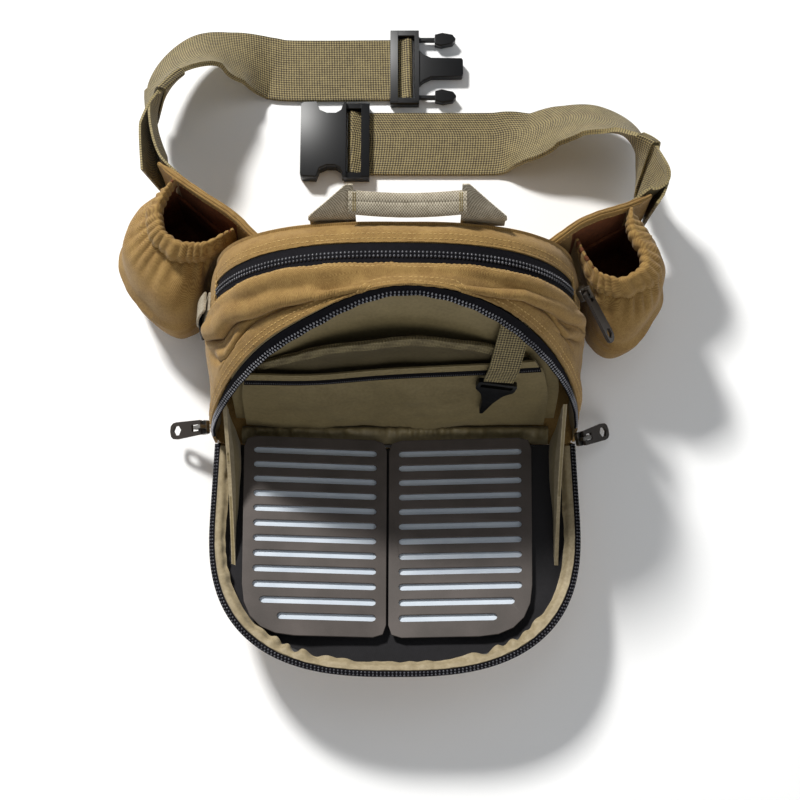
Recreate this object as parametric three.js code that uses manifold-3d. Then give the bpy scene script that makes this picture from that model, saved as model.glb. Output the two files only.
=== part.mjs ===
// A canvas fishing waist pack, standing open: millimetres, +X to its right seen from the front, +Y to the
// back, +Z up. The origin is the middle of its base, on the floor.
import * as THREE from 'three';
import { mergeVertices } from 'three/addons/utils/BufferGeometryUtils.js';
import Module from 'manifold-3d';

const wasm = await Module();
wasm.setup();

// Driving dimensions
const CANVAS = 2.0;
const LINING = 1.4;
const TAPE = 1.4;
const WEBBING = 1.6;
const PADDING = 4.0;
const GAP = 0.4;
const BASE = { front: -57, back: 57.4, half: 133, thick: 3, corner: 10 };
const FOOT = BASE.thick + GAP;
const BACK_SEAM = 53;
const BACK_FACE = BACK_SEAM + 2 * GAP + PADDING;
const BELT_WIDTH = 50.8;
const KEY_STRAP_WIDTH = 21;
const FLAP = { hinge: -55, lift: 20, tilt: 13.5, half: 130, length: 178, straight: 60, square: 2.7 };

// Colours seen in the photograph
const COLOURS = {
  canvas: 0xb08a4a, webbing: 0x857650, handle: 0x9a907a, lining: 0x6b5f3f, binding: 0x9a8658,
  black: 0x1b1a1c, flapLining: 0x2a2830, plate: 0x57504c, foam: 0xd0d8e0, plastic: 0x141416,
  pull: 0x4a4038, metal: 0x6a6864,
};

const pack = new THREE.Group();

function addPiece(name, geometry, colour, roughness = 0.9, metalness = 0) {
  const material = new THREE.MeshStandardMaterial({ color: colour, roughness, metalness });
  const mesh = new THREE.Mesh(geometry, material);
  mesh.name = name;
  pack.add(mesh);
  return mesh;
}

// Small helpers for numbers and points
const vec = (x, y, z) => new THREE.Vector3(x, y, z);
const lerp = THREE.MathUtils.lerp;
const radians = THREE.MathUtils.degToRad;
const range = (count) => Array.from({ length: count }, (unused, index) => index);
const fractions = (steps) => range(steps + 1).map((index) => index / steps);

function geometryFrom(points, triangles) {
  const geometry = new THREE.BufferGeometry();
  const numbers = points.flatMap((point) => [point.x, point.y, point.z]);
  geometry.setAttribute('position', new THREE.Float32BufferAttribute(numbers, 3));
  geometry.setIndex(triangles.flat());
  return geometry;
}

// Normals of a grid of points, rows along its length and columns across it
function gridNormals(rows, ringed) {
  const last = rows.length - 1;
  return rows.map((row, i) => row.map((point, j) => {
    const ahead = ringed ? rows[(i + 1) % rows.length] : rows[Math.min(i + 1, last)];
    const behind = ringed ? rows[(i + last) % rows.length] : rows[Math.max(i - 1, 0)];
    const along = ahead[j].clone().sub(behind[j]);
    const across = row[Math.min(j + 1, row.length - 1)].clone().sub(row[Math.max(j - 1, 0)]);
    return along.cross(across).normalize();
  }));
}

// Two triangles over four corners, split along the shorter diagonal so that layers of cloth fold alike
function quad(points, a, b, c, d) {
  const split = points[a].distanceTo(points[c]) <= points[b].distanceTo(points[d]);
  return split ? [[a, b, c], [a, c, d]] : [[a, b, d], [b, c, d]];
}

// A cloth wall: a grid of points on its middle surface, thickened both ways and closed at its edges
function clothWall(rows, thickness, ringed = false) {
  const normals = gridNormals(rows, ringed);
  const count = rows.length;
  const width = rows[0].length;
  const points = [];
  for (const half of [thickness / 2, -thickness / 2]) {
    rows.forEach((row, i) => row.forEach((point, j) => {
      points.push(point.clone().addScaledVector(normals[i][j], half));
    }));
  }
  const outer = (i, j) => (i % count) * width + j;
  const inner = (i, j) => count * width + outer(i, j);
  const triangles = [];
  const spans = ringed ? count : count - 1;
  for (let i = 0; i < spans; i += 1) {
    for (let j = 0; j < width - 1; j += 1) {
      const next = i + 1;
      triangles.push(...quad(points, outer(i, j), outer(next, j), outer(next, j + 1), outer(i, j + 1)));
      triangles.push(...quad(points, inner(i, j), inner(i, j + 1), inner(next, j + 1), inner(next, j)));
    }
    const edge = width - 1;
    triangles.push(...quad(points, outer(i, 0), inner(i, 0), inner(i + 1, 0), outer(i + 1, 0)));
    triangles.push(...quad(points, outer(i, edge), outer(i + 1, edge), inner(i + 1, edge), inner(i, edge)));
  }
  if (!ringed) {
    const end = count - 1;
    for (let j = 0; j < width - 1; j += 1) {
      triangles.push(...quad(points, outer(0, j), outer(0, j + 1), inner(0, j + 1), inner(0, j)));
      triangles.push(...quad(points, outer(end, j), inner(end, j), inner(end, j + 1), outer(end, j + 1)));
    }
  }
  return geometryFrom(points, triangles);
}

// A cloth dish: closed rings of points from its rim inwards, and the point in its middle
function clothDish(rings, middle, thickness) {
  const rows = rings[0].map((unused, index) => rings.map((ring) => ring[index]));
  const normals = gridNormals(rows, true);
  const count = rows.length;
  const depth = rings.length;
  const points = [];
  for (const half of [thickness / 2, -thickness / 2]) {
    rows.forEach((row, i) => row.forEach((point, j) => {
      points.push(point.clone().addScaledVector(normals[i][j], half));
    }));
    points.push(middle.clone().add(vec(0, 0, half)));
  }
  const layer = count * depth + 1;
  const top = (i, j) => (i % count) * depth + j;
  const under = (i, j) => layer + top(i, j);
  const triangles = [];
  for (let i = 0; i < count; i += 1) {
    for (let j = 0; j < depth - 1; j += 1) {
      triangles.push(...quad(points, top(i, j), top(i + 1, j), top(i + 1, j + 1), top(i, j + 1)));
      triangles.push(...quad(points, under(i, j), under(i, j + 1), under(i + 1, j + 1), under(i + 1, j)));
    }
    triangles.push(...quad(points, top(i, 0), under(i, 0), under(i + 1, 0), top(i + 1, 0)));
    triangles.push([top(i, depth - 1), top(i + 1, depth - 1), layer - 1]);
    triangles.push([under(i, depth - 1), 2 * layer - 1, under(i + 1, depth - 1)]);
  }
  return geometryFrom(points, triangles);
}

// Joins and cuts
function solidFrom(geometry) {
  const bare = geometry.clone();
  bare.deleteAttribute('normal');
  bare.deleteAttribute('uv');
  const merged = mergeVertices(bare, 1e-4);
  return new wasm.Manifold(new wasm.Mesh({
    numProp: 3,
    vertProperties: new Float32Array(merged.attributes.position.array),
    triVerts: new Uint32Array(merged.index.array),
  }));
}

function geometryFromSolid(solid) {
  const mesh = solid.getMesh();
  const geometry = new THREE.BufferGeometry();
  geometry.setAttribute('position', new THREE.BufferAttribute(mesh.vertProperties, 3));
  geometry.setIndex(new THREE.BufferAttribute(mesh.triVerts, 1));
  return geometry;
}

function fuse(geometries) {
  const solids = geometries.map(solidFrom);
  return geometryFromSolid(solids.reduce((whole, solid) => whole.add(solid)));
}

function cutAway(geometry, tools) {
  const body = solidFrom(geometry);
  return geometryFromSolid(tools.map(solidFrom).reduce((whole, tool) => whole.subtract(tool), body));
}

function boxBetween(low, high) {
  const size = high.clone().sub(low);
  const middle = low.clone().add(high).multiplyScalar(0.5);
  return new THREE.BoxGeometry(size.x, size.y, size.z).translate(middle.x, middle.y, middle.z);
}

// A flat outline with rounded corners: each corner is [x, y, radius], and may add a number of steps
function roundedOutline(corners) {
  const shape = new THREE.Shape();
  const count = corners.length;
  corners.forEach(([x, y, radius, steps = 0], index) => {
    const before = corners[(index + count - 1) % count];
    const after = corners[(index + 1) % count];
    const corner = new THREE.Vector2(x, y);
    const arriving = new THREE.Vector2(before[0] - x, before[1] - y).normalize();
    const leaving = new THREE.Vector2(after[0] - x, after[1] - y).normalize();
    const start = corner.clone().addScaledVector(arriving, radius);
    const finish = corner.clone().addScaledVector(leaving, radius);
    if (index === 0) shape.moveTo(start.x, start.y);
    else shape.lineTo(start.x, start.y);
    if (steps > 0) {
      const round = new THREE.QuadraticBezierCurve(start, corner, finish);
      round.getPoints(steps).slice(1).forEach((point) => shape.lineTo(point.x, point.y));
    } else if (radius > 0) shape.quadraticCurveTo(x, y, finish.x, finish.y);
  });
  shape.closePath();
  return shape;
}

function roundedBox(width, height, radius) {
  const x = width / 2;
  const y = height / 2;
  return roundedOutline([[-x, -y, radius], [x, -y, radius], [x, y, radius], [-x, y, radius]]);
}

function plateFrom(shape, thickness, curveSegments = 4) {
  return new THREE.ExtrudeGeometry(shape, { depth: thickness, bevelEnabled: false, curveSegments });
}

// Body: rails are arches over the pack, from its left foot to its right foot. Each row gives how far back
// the crown and the foot lie, the half width, the crown's height, the superellipse power of the arch, and
// the height of the straight side below it.
const RAILS = {
  backSeam: { crownY: BACK_SEAM, footY: BACK_SEAM, half: 126, height: 160, square: 2.7, straight: 40 },
  rearRoll: { crownY: 46, footY: 38, half: 129, height: 167, square: 2.7, straight: 40 },
  zipRear: { crownY: 38, footY: 24, half: 129, height: 169, square: 2.65, straight: 40 },
  zipFront: { crownY: 22.5, footY: 11, half: 130, height: 172, square: 2.6, straight: 40 },
  upperTier: { crownY: 17.5, footY: -10, half: 131.5, height: 177, square: 2.5, straight: 38 },
  crease: { crownY: 13, footY: -36, half: 127, height: 175, square: 2.2, straight: 36 },
  lowerTier: { crownY: 10, footY: -48, half: 131.5, height: 181, square: 2.05, straight: 28 },
  archEdge: { crownY: 5.5, footY: -56.5, half: 131, height: 183, square: 1.95, straight: 20 },
  archTeeth: { crownY: 6, footY: -60, half: 129.5, height: 175, square: 1.8, straight: 16 },
};
const RAIL_STEPS = 64;
const APEX_SHIFT = 7;
const LEFT_SLUMP = 13;
const SLUMPING = new Set(['crease', 'lowerTier', 'archEdge', 'archTeeth']);

// A point of a rail on its arch, at an angle from the left springing to the right one
function archPoint(name, angle) {
  const rail = RAILS[name];
  const power = 2 / rail.square;
  const side = -Math.cos(angle);
  const x = rail.half * Math.sign(side) * Math.abs(side) ** power;
  const z = rail.straight + (rail.height - rail.straight) * Math.sin(angle) ** power;
  return leaned(name, x, z);
}

// Sets a rail's point back by its height, and lets the open front slump on its left shoulder
function leaned(name, x, z) {
  const rail = RAILS[name];
  const rise = z / rail.height;
  let y = lerp(rail.footY, rail.crownY, rise ** 1.1);
  let shifted = x;
  if (SLUMPING.has(name)) {
    const shoulder = Math.sin(Math.PI * Math.min(rise, 1));
    y -= LEFT_SLUMP * Math.max(0, -x / rail.half) * shoulder;
    shifted += APEX_SHIFT * rise ** 4;
  }
  return vec(shifted, y, z);
}

function railLine(name) {
  const rail = RAILS[name];
  const line = [leaned(name, -rail.half, FOOT)];
  for (const step of fractions(RAIL_STEPS)) line.push(archPoint(name, Math.PI * step));
  line.push(leaned(name, rail.half, FOOT));
  return line;
}

// Points at given shares of a line's length
function pointsAlong(line, shares) {
  const lengths = [0];
  for (let i = 1; i < line.length; i += 1) lengths.push(lengths[i - 1] + line[i].distanceTo(line[i - 1]));
  const total = lengths[lengths.length - 1];
  return shares.map((share) => {
    const target = share * total;
    let i = 1;
    while (i < line.length - 1 && lengths[i] < target) i += 1;
    const span = lengths[i] - lengths[i - 1] || 1;
    return line[i - 1].clone().lerp(line[i], (target - lengths[i - 1]) / span);
  });
}

// Shares of the way over the pack, evenly spaced from one share to another
function shareList(from, to, steps) {
  return fractions(steps).map((step) => lerp(from, to, step));
}

// A band of cloth over the pack through several rails, pulled in at both edges by half a seam gap
function bandRows(names, shares, seam = GAP) {
  const lines = names.map((name) => pointsAlong(railLine(name), shares));
  return shares.map((unused, index) => {
    const row = lines.map((line) => line[index].clone());
    const last = row.length - 1;
    pullTowards(row, 0, 1, seam / 2);
    pullTowards(row, last, last - 1, seam / 2);
    return row;
  });
}

function pullTowards(row, from, to, distance) {
  const step = row[to].clone().sub(row[from]);
  row[from].addScaledVector(step, Math.min(0.4, distance / step.length()));
}

const ZIP_FROM = 0.21;
const ZIP_TO = 1 - ZIP_FROM;
const BODY_STEPS = 34;

// The band behind the main zip, which also closes the sides below the zip's ends
function rearGusset() {
  const notch = 0.002;
  const sideLeft = shareList(0, ZIP_FROM - notch, 6);
  const sideRight = shareList(ZIP_TO + notch, 1, 6);
  const over = shareList(ZIP_FROM, ZIP_TO, BODY_STEPS - 12);
  const below = (shares) => bandRows(['backSeam', 'rearRoll', 'zipFront'], shares);
  const above = bandRows(['backSeam', 'rearRoll', 'zipRear'], over);
  return clothWall([...below(sideLeft), ...above, ...below(sideRight)], CANVAS);
}

function mainZipTape() {
  const inset = 0.006;
  const shares = shareList(ZIP_FROM + inset, ZIP_TO - inset, BODY_STEPS - 10);
  return clothWall(bandRows(['zipRear', 'zipFront'], shares, 2 * GAP), TAPE);
}

// The soft band between the main zip and the front opening, with its sagging crease
function frontGusset() {
  const rows = bandRows(['zipFront', 'upperTier', 'crease', 'lowerTier', 'archEdge'],
    shareList(0, 1, BODY_STEPS + 2));
  return clothWall(rows, CANVAS);
}

const ARCH_TAPE_FROM = 0.05;
const ARCH_SEAM = 3.4;

function archZipTape() {
  const shares = shareList(ARCH_TAPE_FROM, 1 - ARCH_TAPE_FROM, BODY_STEPS + 4);
  return clothWall(bandRows(['archEdge', 'archTeeth'], shares, ARCH_SEAM), TAPE);
}

function backPanel() {
  const rail = RAILS.backSeam;
  const overhang = 1.5;
  const outline = pointsAlong(railLine('backSeam'), fractions(40)).map((point) => new THREE.Vector2(
    point.x * (1 + overhang / rail.half), (point.z - FOOT) * (1 + overhang / rail.height) + FOOT));
  const plate = plateFrom(new THREE.Shape(outline), PADDING);
  plate.rotateX(Math.PI / 2);
  return plate.translate(0, BACK_FACE, 0);
}

function basePanel() {
  const { front, back, half, thick, corner } = BASE;
  const shape = roundedOutline([
    [-half, front, corner], [half, front, corner], [half, back, corner], [-half, back, corner]]);
  return plateFrom(shape, thick);
}

// Inside the front: a lined divider leans back behind the opening, with two pockets on it
const DIVIDER = { footY: -38, lean: 0.28, half: 117, height: 164, square: 2.1, straight: 30 };
const dividerY = (z) => DIVIDER.footY + DIVIDER.lean * z;

function dividerHalf(z) {
  const { half, height, square, straight } = DIVIDER;
  const rise = Math.max(0, Math.min(1, (z - straight) / (height - straight)));
  return half * (1 - rise ** square) ** (1 / square);
}

// A panel on the divider between two edges, each a height by the share of the way across
const BELLY = { from: 0.12, to: 0.75 };

function dividerPanel({ lower, upper, offset, bulge, thickness, halfShare, steps }) {
  const rows = fractions(steps.across).map((across) => {
    const side = 2 * across - 1;
    return fractions(steps.up).map((up) => {
      const z = lerp(lower(side), upper(side), up);
      const belly = bulge * (1 - side ** 4) * Math.sin(Math.PI * lerp(BELLY.from, BELLY.to, up));
      return vec(side * halfShare * dividerHalf(Math.min(z, PANEL_WIDEST)), dividerY(z) - offset - belly, z);
    });
  });
  return clothWall(rows, thickness);
}

function divider() {
  const rows = fractions(10).map((across) => fractions(5).map((up) => {
    const z = lerp(FOOT, DIVIDER.height - 2, up);
    return vec((2 * across - 1) * dividerHalf(z), dividerY(z), z);
  }));
  return clothWall(rows, LINING);
}

const BAND = { low: 79, high: 91, slope: 8 };
const bandSlope = (side) => BAND.slope * side;
const SLIP_TOP = { crown: 124, sides: 96 };
const PANEL_SHARE = 0.93;
const PANEL_WIDEST = 100;
const PANEL_STEPS = { across: 10, up: 4 };

function slipPocket() {
  return dividerPanel({
    lower: () => FOOT,
    upper: (side) => lerp(SLIP_TOP.crown, SLIP_TOP.sides, side ** 2),
    offset: 2, bulge: 3, thickness: LINING, halfShare: 0.86, steps: PANEL_STEPS });
}

function pocketBand() {
  return dividerPanel({
    lower: (side) => BAND.low + 5 + bandSlope(side), upper: (side) => BAND.high + bandSlope(side),
    offset: 10.2, bulge: 1, thickness: LINING, halfShare: PANEL_SHARE, steps: { across: 10, up: 1 } });
}

function pocketZip() {
  return dividerPanel({
    lower: (side) => BAND.low - 1.5 + bandSlope(side), upper: (side) => BAND.low + 4.6 + bandSlope(side),
    offset: 10.2, bulge: 1, thickness: 1, halfShare: PANEL_SHARE, steps: { across: 10, up: 1 } });
}

function zipPocket() {
  return dividerPanel({
    lower: () => FOOT + 4, upper: (side) => BAND.low - 2 + bandSlope(side),
    offset: 7, bulge: 4, thickness: LINING, halfShare: PANEL_SHARE, steps: PANEL_STEPS });
}

// The gathered strip from the foot of the divider to the flap's lining
const PLEAT = {
  half: 112, gathers: 6, steps: 24, ruffle: 0.9,
  rows: [
    { y: -44.5, rise: 0.5, wave: 0 }, { y: -47.5, rise: 4.2, wave: 1 },
    { y: -51.5, rise: 1.8, wave: 0.5 }, { y: -57.5, rise: 1.4, wave: 0 },
  ],
};

function hingePleat() {
  const { half, gathers, steps, ruffle, rows: lines } = PLEAT;
  const rows = fractions(steps).map((along) => {
    const ripple = ruffle * Math.sin(2 * Math.PI * gathers * along);
    return lines.map(({ y, rise, wave }) => vec(lerp(-half, half, along), y, FOOT + rise + wave * ripple));
  });
  return clothWall(rows, LINING);
}

// Flap: its rim lies on a plane that rises from the hinge; x across, l away from the hinge, h above it
const flapTilt = radians(FLAP.tilt);

function flapPoint(x, l, h) {
  const y = FLAP.hinge - l * Math.cos(flapTilt) + h * Math.sin(flapTilt);
  const z = FLAP.lift + l * Math.sin(flapTilt) + h * Math.cos(flapTilt);
  return vec(x, y, z);
}

// The flap's outline from its left hinge end to its right one, drawn in by an inset
function flapOutline(inset, steps, from = 4) {
  const half = FLAP.half - inset;
  const power = 2 / FLAP.square;
  const reach = FLAP.length - FLAP.straight - inset;
  const line = [new THREE.Vector2(-half, from)];
  for (const step of fractions(60)) {
    const side = -Math.cos(Math.PI * step);
    const x = half * Math.sign(side) * Math.abs(side) ** power;
    const l = FLAP.straight + reach * Math.sin(Math.PI * step) ** power;
    line.push(new THREE.Vector2(x, l));
  }
  line.push(new THREE.Vector2(half, from));
  return resample(line, steps);
}

function resample(line, steps) {
  const spatial = line.map((point) => vec(point.x, point.y, 0));
  return pointsAlong(spatial, fractions(steps)).map((point) => new THREE.Vector2(point.x, point.y));
}

const RIM_STEPS = 36;

// A strip of the flap's rim between two insets, with gathers that ruffle its inner edge
function rimStrip(outer, inner, thickness, ruffle = 0) {
  const outside = flapOutline(outer.inset, RIM_STEPS, outer.from);
  const inside = flapOutline(inner.inset, RIM_STEPS, inner.from);
  const rows = outside.map((edge, index) => {
    const wave = ruffle * Math.sin(index * 2.4);
    const lip = inside[index];
    return [flapPoint(edge.x, edge.y, outer.height), flapPoint(lip.x, lip.y, inner.height + wave)];
  });
  return clothWall(rows.reverse(), thickness);
}

function flapZipTape() {
  return rimStrip({ inset: 0, height: 0, from: 6 }, { inset: 5, height: -0.6, from: 6 }, TAPE);
}

function flapBinding() {
  return rimStrip({ inset: 5.6, height: -0.6, from: 8 }, { inset: 10.6, height: -3.6, from: 8 }, TAPE, 0.8);
}

// The outer canvas of the flap: a tray whose wall rises from the floor to the rim, in rings by their scale
const SHELL = {
  inset: 2.5, rimHeight: -2.4, steepness: 12, middle: 80, rings: [1, 0.97, 0.92, 0.82],
  hingeShares: [0.03, 0.12, 0.28, 0.5, 0.72, 0.88, 0.97], hingeLow: 1.6, hingeRise: 13, hingePower: 8,
};

function flapShell() {
  const { inset, rimHeight, steepness, hingeShares, hingeLow, hingeRise, hingePower } = SHELL;
  const floor = CANVAS / 2;
  const outline = flapOutline(inset, 32).map((edge) => flapPoint(edge.x, edge.y, rimHeight));
  const half = FLAP.half - inset;
  const hinge = hingeShares.map((share) => {
    const x = lerp(half, -half, share);
    return vec(x, outline[0].y, hingeLow + hingeRise * (Math.abs(x) / FLAP.half) ** hingePower);
  });
  const rim = [...outline, ...hinge];
  const middle = vec(0, FLAP.hinge - SHELL.middle, floor);
  const rings = SHELL.rings.map((scale) => rim.map((point) => vec(
    lerp(middle.x, point.x, scale), lerp(middle.y, point.y, scale),
    floor + (point.z - floor) * scale ** steepness)));
  return clothDish(rings, middle, CANVAS);
}

// The lining hangs between the rims, lowest along its middle
const FLAP_BED = { inset: 12.5, from: 3, low: -16.2, rise: 6.6, reach: 108, middle: 80, rings: [1, 0.6] };
const liningHeight = (x) => FLAP_BED.low + FLAP_BED.rise * Math.min(1, Math.abs(x) / FLAP_BED.reach);

function flapLining() {
  const { inset, from } = FLAP_BED;
  const half = FLAP.half - inset;
  const hinge = fractions(8).slice(1, -1).map((share) => new THREE.Vector2(lerp(half, -half, share), from));
  const rim = [...flapOutline(inset, 22, from), ...hinge];
  const rings = FLAP_BED.rings.map((scale) => rim.map((point) => {
    const x = point.x * scale;
    return flapPoint(x, lerp(FLAP_BED.middle, point.y, scale), liningHeight(x));
  }));
  return clothDish(rings, flapPoint(0, FLAP_BED.middle, liningHeight(0)), LINING);
}

// A triangular stay between the opening's side and the flap's side
const STAY = {
  x: 112.5, corner: { l: 3, h: -8.5 }, low: { l: 96, h: -8.5 }, high: { x: 118, y: -43, z: 68 },
  root: 0.06, sag: 7, bow: 3,
};

function flapGusset(side) {
  const { x, root, sag, bow } = STAY;
  const corner = flapPoint(side * x, STAY.corner.l, STAY.corner.h);
  const high = vec(side * STAY.high.x, STAY.high.y, STAY.high.z);
  const low = flapPoint(side * x, STAY.low.l, STAY.low.h);
  const rows = fractions(7).map((along) => fractions(3).map((out) => {
    const edge = high.clone().lerp(low, along);
    edge.z -= sag * Math.sin(Math.PI * along) * out;
    const point = corner.clone().lerp(edge, lerp(root, 1, out));
    point.x -= side * bow * Math.sin(Math.PI * out) * Math.sin(Math.PI * along);
    return point;
  }));
  return clothWall(rows, LINING);
}

// Slotted fly panels: a stiff plate over pale foam, lying in the flap's two halves
const INSERT = {
  nearWidth: 103.5, farWidth: 98, length: 149, plate: 1.6, foam: 3.4, foamInset: 2,
  slots: 12, pitch: 11.3, firstSlot: 11, slotWidth: 4.8, margin: 7, shortened: [0, 5, 17],
  cornerRound: 9, outerRound: 36, outerSteps: 5,
};
const INSERTS = {
  left: { side: -1, inner: 6, start: -1, roll: 5, height: -9.2 },
  right: { side: 1, inner: -4.4, start: -1, roll: 3.4, height: -9.8 },
};

const insertWidth = (y) => lerp(INSERT.nearWidth, INSERT.farWidth, y / INSERT.length);

// A panel's outline, x outwards from its inner edge and y away from the hinge
function insertOutline(side, inset, outerSteps) {
  const { nearWidth, farWidth, length, cornerRound, outerRound } = INSERT;
  return roundedOutline([
    [side * inset, inset, cornerRound], [side * (nearWidth - inset), inset, cornerRound],
    [side * (farWidth - inset), length - inset, outerRound, outerSteps],
    [side * inset, length - inset, cornerRound]]);
}

function slotHole(side, index) {
  const { margin, pitch, firstSlot, slotWidth, slots, shortened } = INSERT;
  const late = index - (slots - shortened.length);
  const y = firstSlot + index * pitch;
  const far = insertWidth(y) - margin - (late < 0 ? 0 : shortened[late]);
  const ends = [side * margin, side * far].sort((a, b) => a - b);
  const radius = slotWidth / 2;
  const hole = new THREE.Path();
  hole.moveTo(ends[0] + radius, y - radius);
  hole.lineTo(ends[1] - radius, y - radius);
  hole.absarc(ends[1] - radius, y, radius, -Math.PI / 2, Math.PI / 2, false);
  hole.lineTo(ends[0] + radius, y + radius);
  hole.absarc(ends[0] + radius, y, radius, Math.PI / 2, Math.PI * 1.5, false);
  return hole;
}

// Lays a flat piece in the flap, its top a given depth below the plate's top
function layInFlap(shape, depth, thickness, { side, inner, start, roll, height }) {
  const piece = plateFrom(shape, thickness, 2);
  piece.translate(0, 0, depth);
  piece.rotateY(side * radians(roll));
  piece.translate(side * inner, start, -height);
  const across = vec(1, 0, 0);
  const away = vec(0, -Math.cos(flapTilt), Math.sin(flapTilt));
  const basis = new THREE.Matrix4().makeBasis(across, away, across.clone().cross(away));
  return piece.applyMatrix4(basis.setPosition(flapPoint(0, 0, 0)));
}

function insertPlate(place) {
  const shape = insertOutline(place.side, 0, INSERT.outerSteps);
  shape.holes = range(INSERT.slots).map((index) => slotHole(place.side, index));
  return layInFlap(shape, 0, INSERT.plate, place);
}

function insertFoam(place) {
  const shape = insertOutline(place.side, INSERT.foamInset, 0);
  return layInFlap(shape, INSERT.plate + GAP, INSERT.foam, place);
}

// Ribbons: each station has a middle and the half-width vector towards its upper edge
function ribbon(stations, thickness) {
  const rows = stations.map(({ middle, edge }) => [
    middle.clone().sub(edge), middle.clone(), middle.clone().add(edge)]);
  return clothWall(rows, thickness);
}

function smoothLine(points, samples) {
  return new THREE.CatmullRomCurve3(points, false, 'centripetal').getPoints(samples);
}

// Key strap: it hangs down the pockets to a moulded hook
const KEY = { top: 134, hem: 82, topX: 81, hemX: 71, clear: 15.5, topClear: 1.2, fall: 1.4, turn: 14 };

function keyStrap() {
  const stations = fractions(8).map((down) => {
    const z = lerp(KEY.top, KEY.hem, down);
    const y = dividerY(z) - lerp(KEY.topClear, KEY.clear, Math.min(1, down * KEY.fall));
    const turn = radians(KEY.turn);
    const edge = vec(Math.cos(turn), 0, -Math.sin(turn)).multiplyScalar(KEY_STRAP_WIDTH / 2);
    return { middle: vec(lerp(KEY.topX, KEY.hemX, down), y, z), edge };
  });
  return ribbon(stations, WEBBING);
}

const HOOK = { thick: 4, eye: 28, eyeHigh: 9, bar: 2.6, shank: 8, shoulder: 15, waist: 26, tip: 42 };

function keyHook() {
  const { thick, eye, eyeHigh, bar, shank, shoulder, waist, tip } = HOOK;
  const half = eye / 2;
  const shape = roundedOutline([
    [half, 0, 2], [-half, 0, 2], [-half, -eyeHigh, 2], [-shank, -shoulder, 2], [-shank * 0.5, -waist, 2],
    [-1.2, -tip, 1], [1.2, -tip, 1], [shank * 0.5, -waist, 2], [shank, -shoulder, 2], [half, -eyeHigh, 2]]);
  shape.holes = [roundedOutline([
    [half - bar, -bar, 1], [-half + bar, -bar, 1], [-half + bar, -eyeHigh + bar, 1],
    [half - bar, -eyeHigh + bar, 1]])];
  const hook = plateFrom(shape, thick, 2);
  hook.rotateX(Math.PI / 2);
  hook.rotateY(radians(KEY.turn));
  hook.rotateX(-Math.atan(DIVIDER.lean));
  const z = KEY.hem - 2 * GAP;
  return hook.translate(KEY.hemX, dividerY(z) - KEY.clear + thick / 2, z);
}

// Handle: two legs lean back from the top seam, and a folded grip joins them
const HANDLE = { seamY: BACK_FACE + GAP + 1, seamZ: 161, sewnZ: 146, apexY: 75, apexZ: 176, thick: 2 };
const GRIP = {
  thick: 3.6, lap: 3, sag: 3, narrowing: 0.4,
  edges: [{ y: 57.5, z: 169.5, pull: -1 }, { y: 65, z: 172, pull: 0 }, { y: 72, z: 173.5, pull: -1 }],
};
const HANDLE_LEGS = [
  { seam: [-55, -25], apex: [-31, -26.5] },
  { seam: [43, 72], apex: [43.5, 48] },
];

function handleLeg({ seam, apex }) {
  const { seamY, seamZ, sewnZ, apexY, apexZ, thick } = HANDLE;
  const level = (share) => {
    const from = lerp(seam[0], apex[0], share);
    const to = lerp(seam[1], apex[1], share);
    const y = lerp(seamY, apexY, share);
    const z = lerp(seamZ, apexZ, share);
    return [vec(from, y, z), vec((from + to) / 2, y, z), vec(to, y, z)];
  };
  const sewn = level(0).map((point) => point.clone().setZ(sewnZ));
  return clothWall([sewn, level(0), level(0.5), level(1)], thick);
}

function handleGrip() {
  const { thick, lap, edges, narrowing } = GRIP;
  const from = HANDLE_LEGS[0].apex[1] - lap;
  const to = HANDLE_LEGS[1].apex[0] + lap;
  const rows = fractions(8).map((along) => {
    const sag = GRIP.sag * Math.sin(Math.PI * along);
    return edges.map(({ y, z, pull }) => vec(lerp(from, to, along), y + pull * narrowing * sag, z - sag));
  });
  return clothWall(rows, thick);
}

// Wings: padded panels sewn to the back, leaving it at the bend and carrying the belt
const WING = {
  rootReach: 26, rootLow: 4, rootHigh: 108, tipLow: 34, tipHigh: 86, lowPower: 6, highPower: 1.5,
  stations: [-9, 0, 9, 30, 52, 74], tipRow: 6,
};
const WING_Y = BACK_FACE + GAP + PADDING / 2;
const WINGS = {
  left: { side: -1, bend: -90, angle: 41.5, length: 104 },
  right: { side: 1, bend: 106, angle: 30.5, length: 87 },
};

function wingPoint({ side, bend, angle }, along, out) {
  const forward = radians(angle);
  const way = vec(side * Math.cos(forward), Math.sin(forward), 0);
  const front = vec(side * Math.sin(forward), -Math.cos(forward), 0);
  return vec(bend, WING_Y, 0).addScaledVector(way, along).addScaledVector(front, out);
}

function wing(place) {
  const tip = [place.length - WING.tipRow, place.length];
  const stations = [-WING.rootReach, ...WING.stations, ...tip];
  const rows = stations.map((along) => {
    const flat = vec(place.bend + place.side * along, WING_Y, 0);
    const foot = along < 0 ? flat : wingPoint(place, along, 0);
    const share = Math.max(0, along) / place.length;
    const low = lerp(WING.rootLow, WING.tipLow, share ** WING.lowPower);
    const high = lerp(WING.rootHigh, WING.tipHigh, share ** WING.highPower);
    return fractions(3).map((up) => foot.clone().setZ(lerp(low, high, up)));
  });
  return clothWall(place.side < 0 ? rows : rows.reverse(), PADDING);
}

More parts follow.
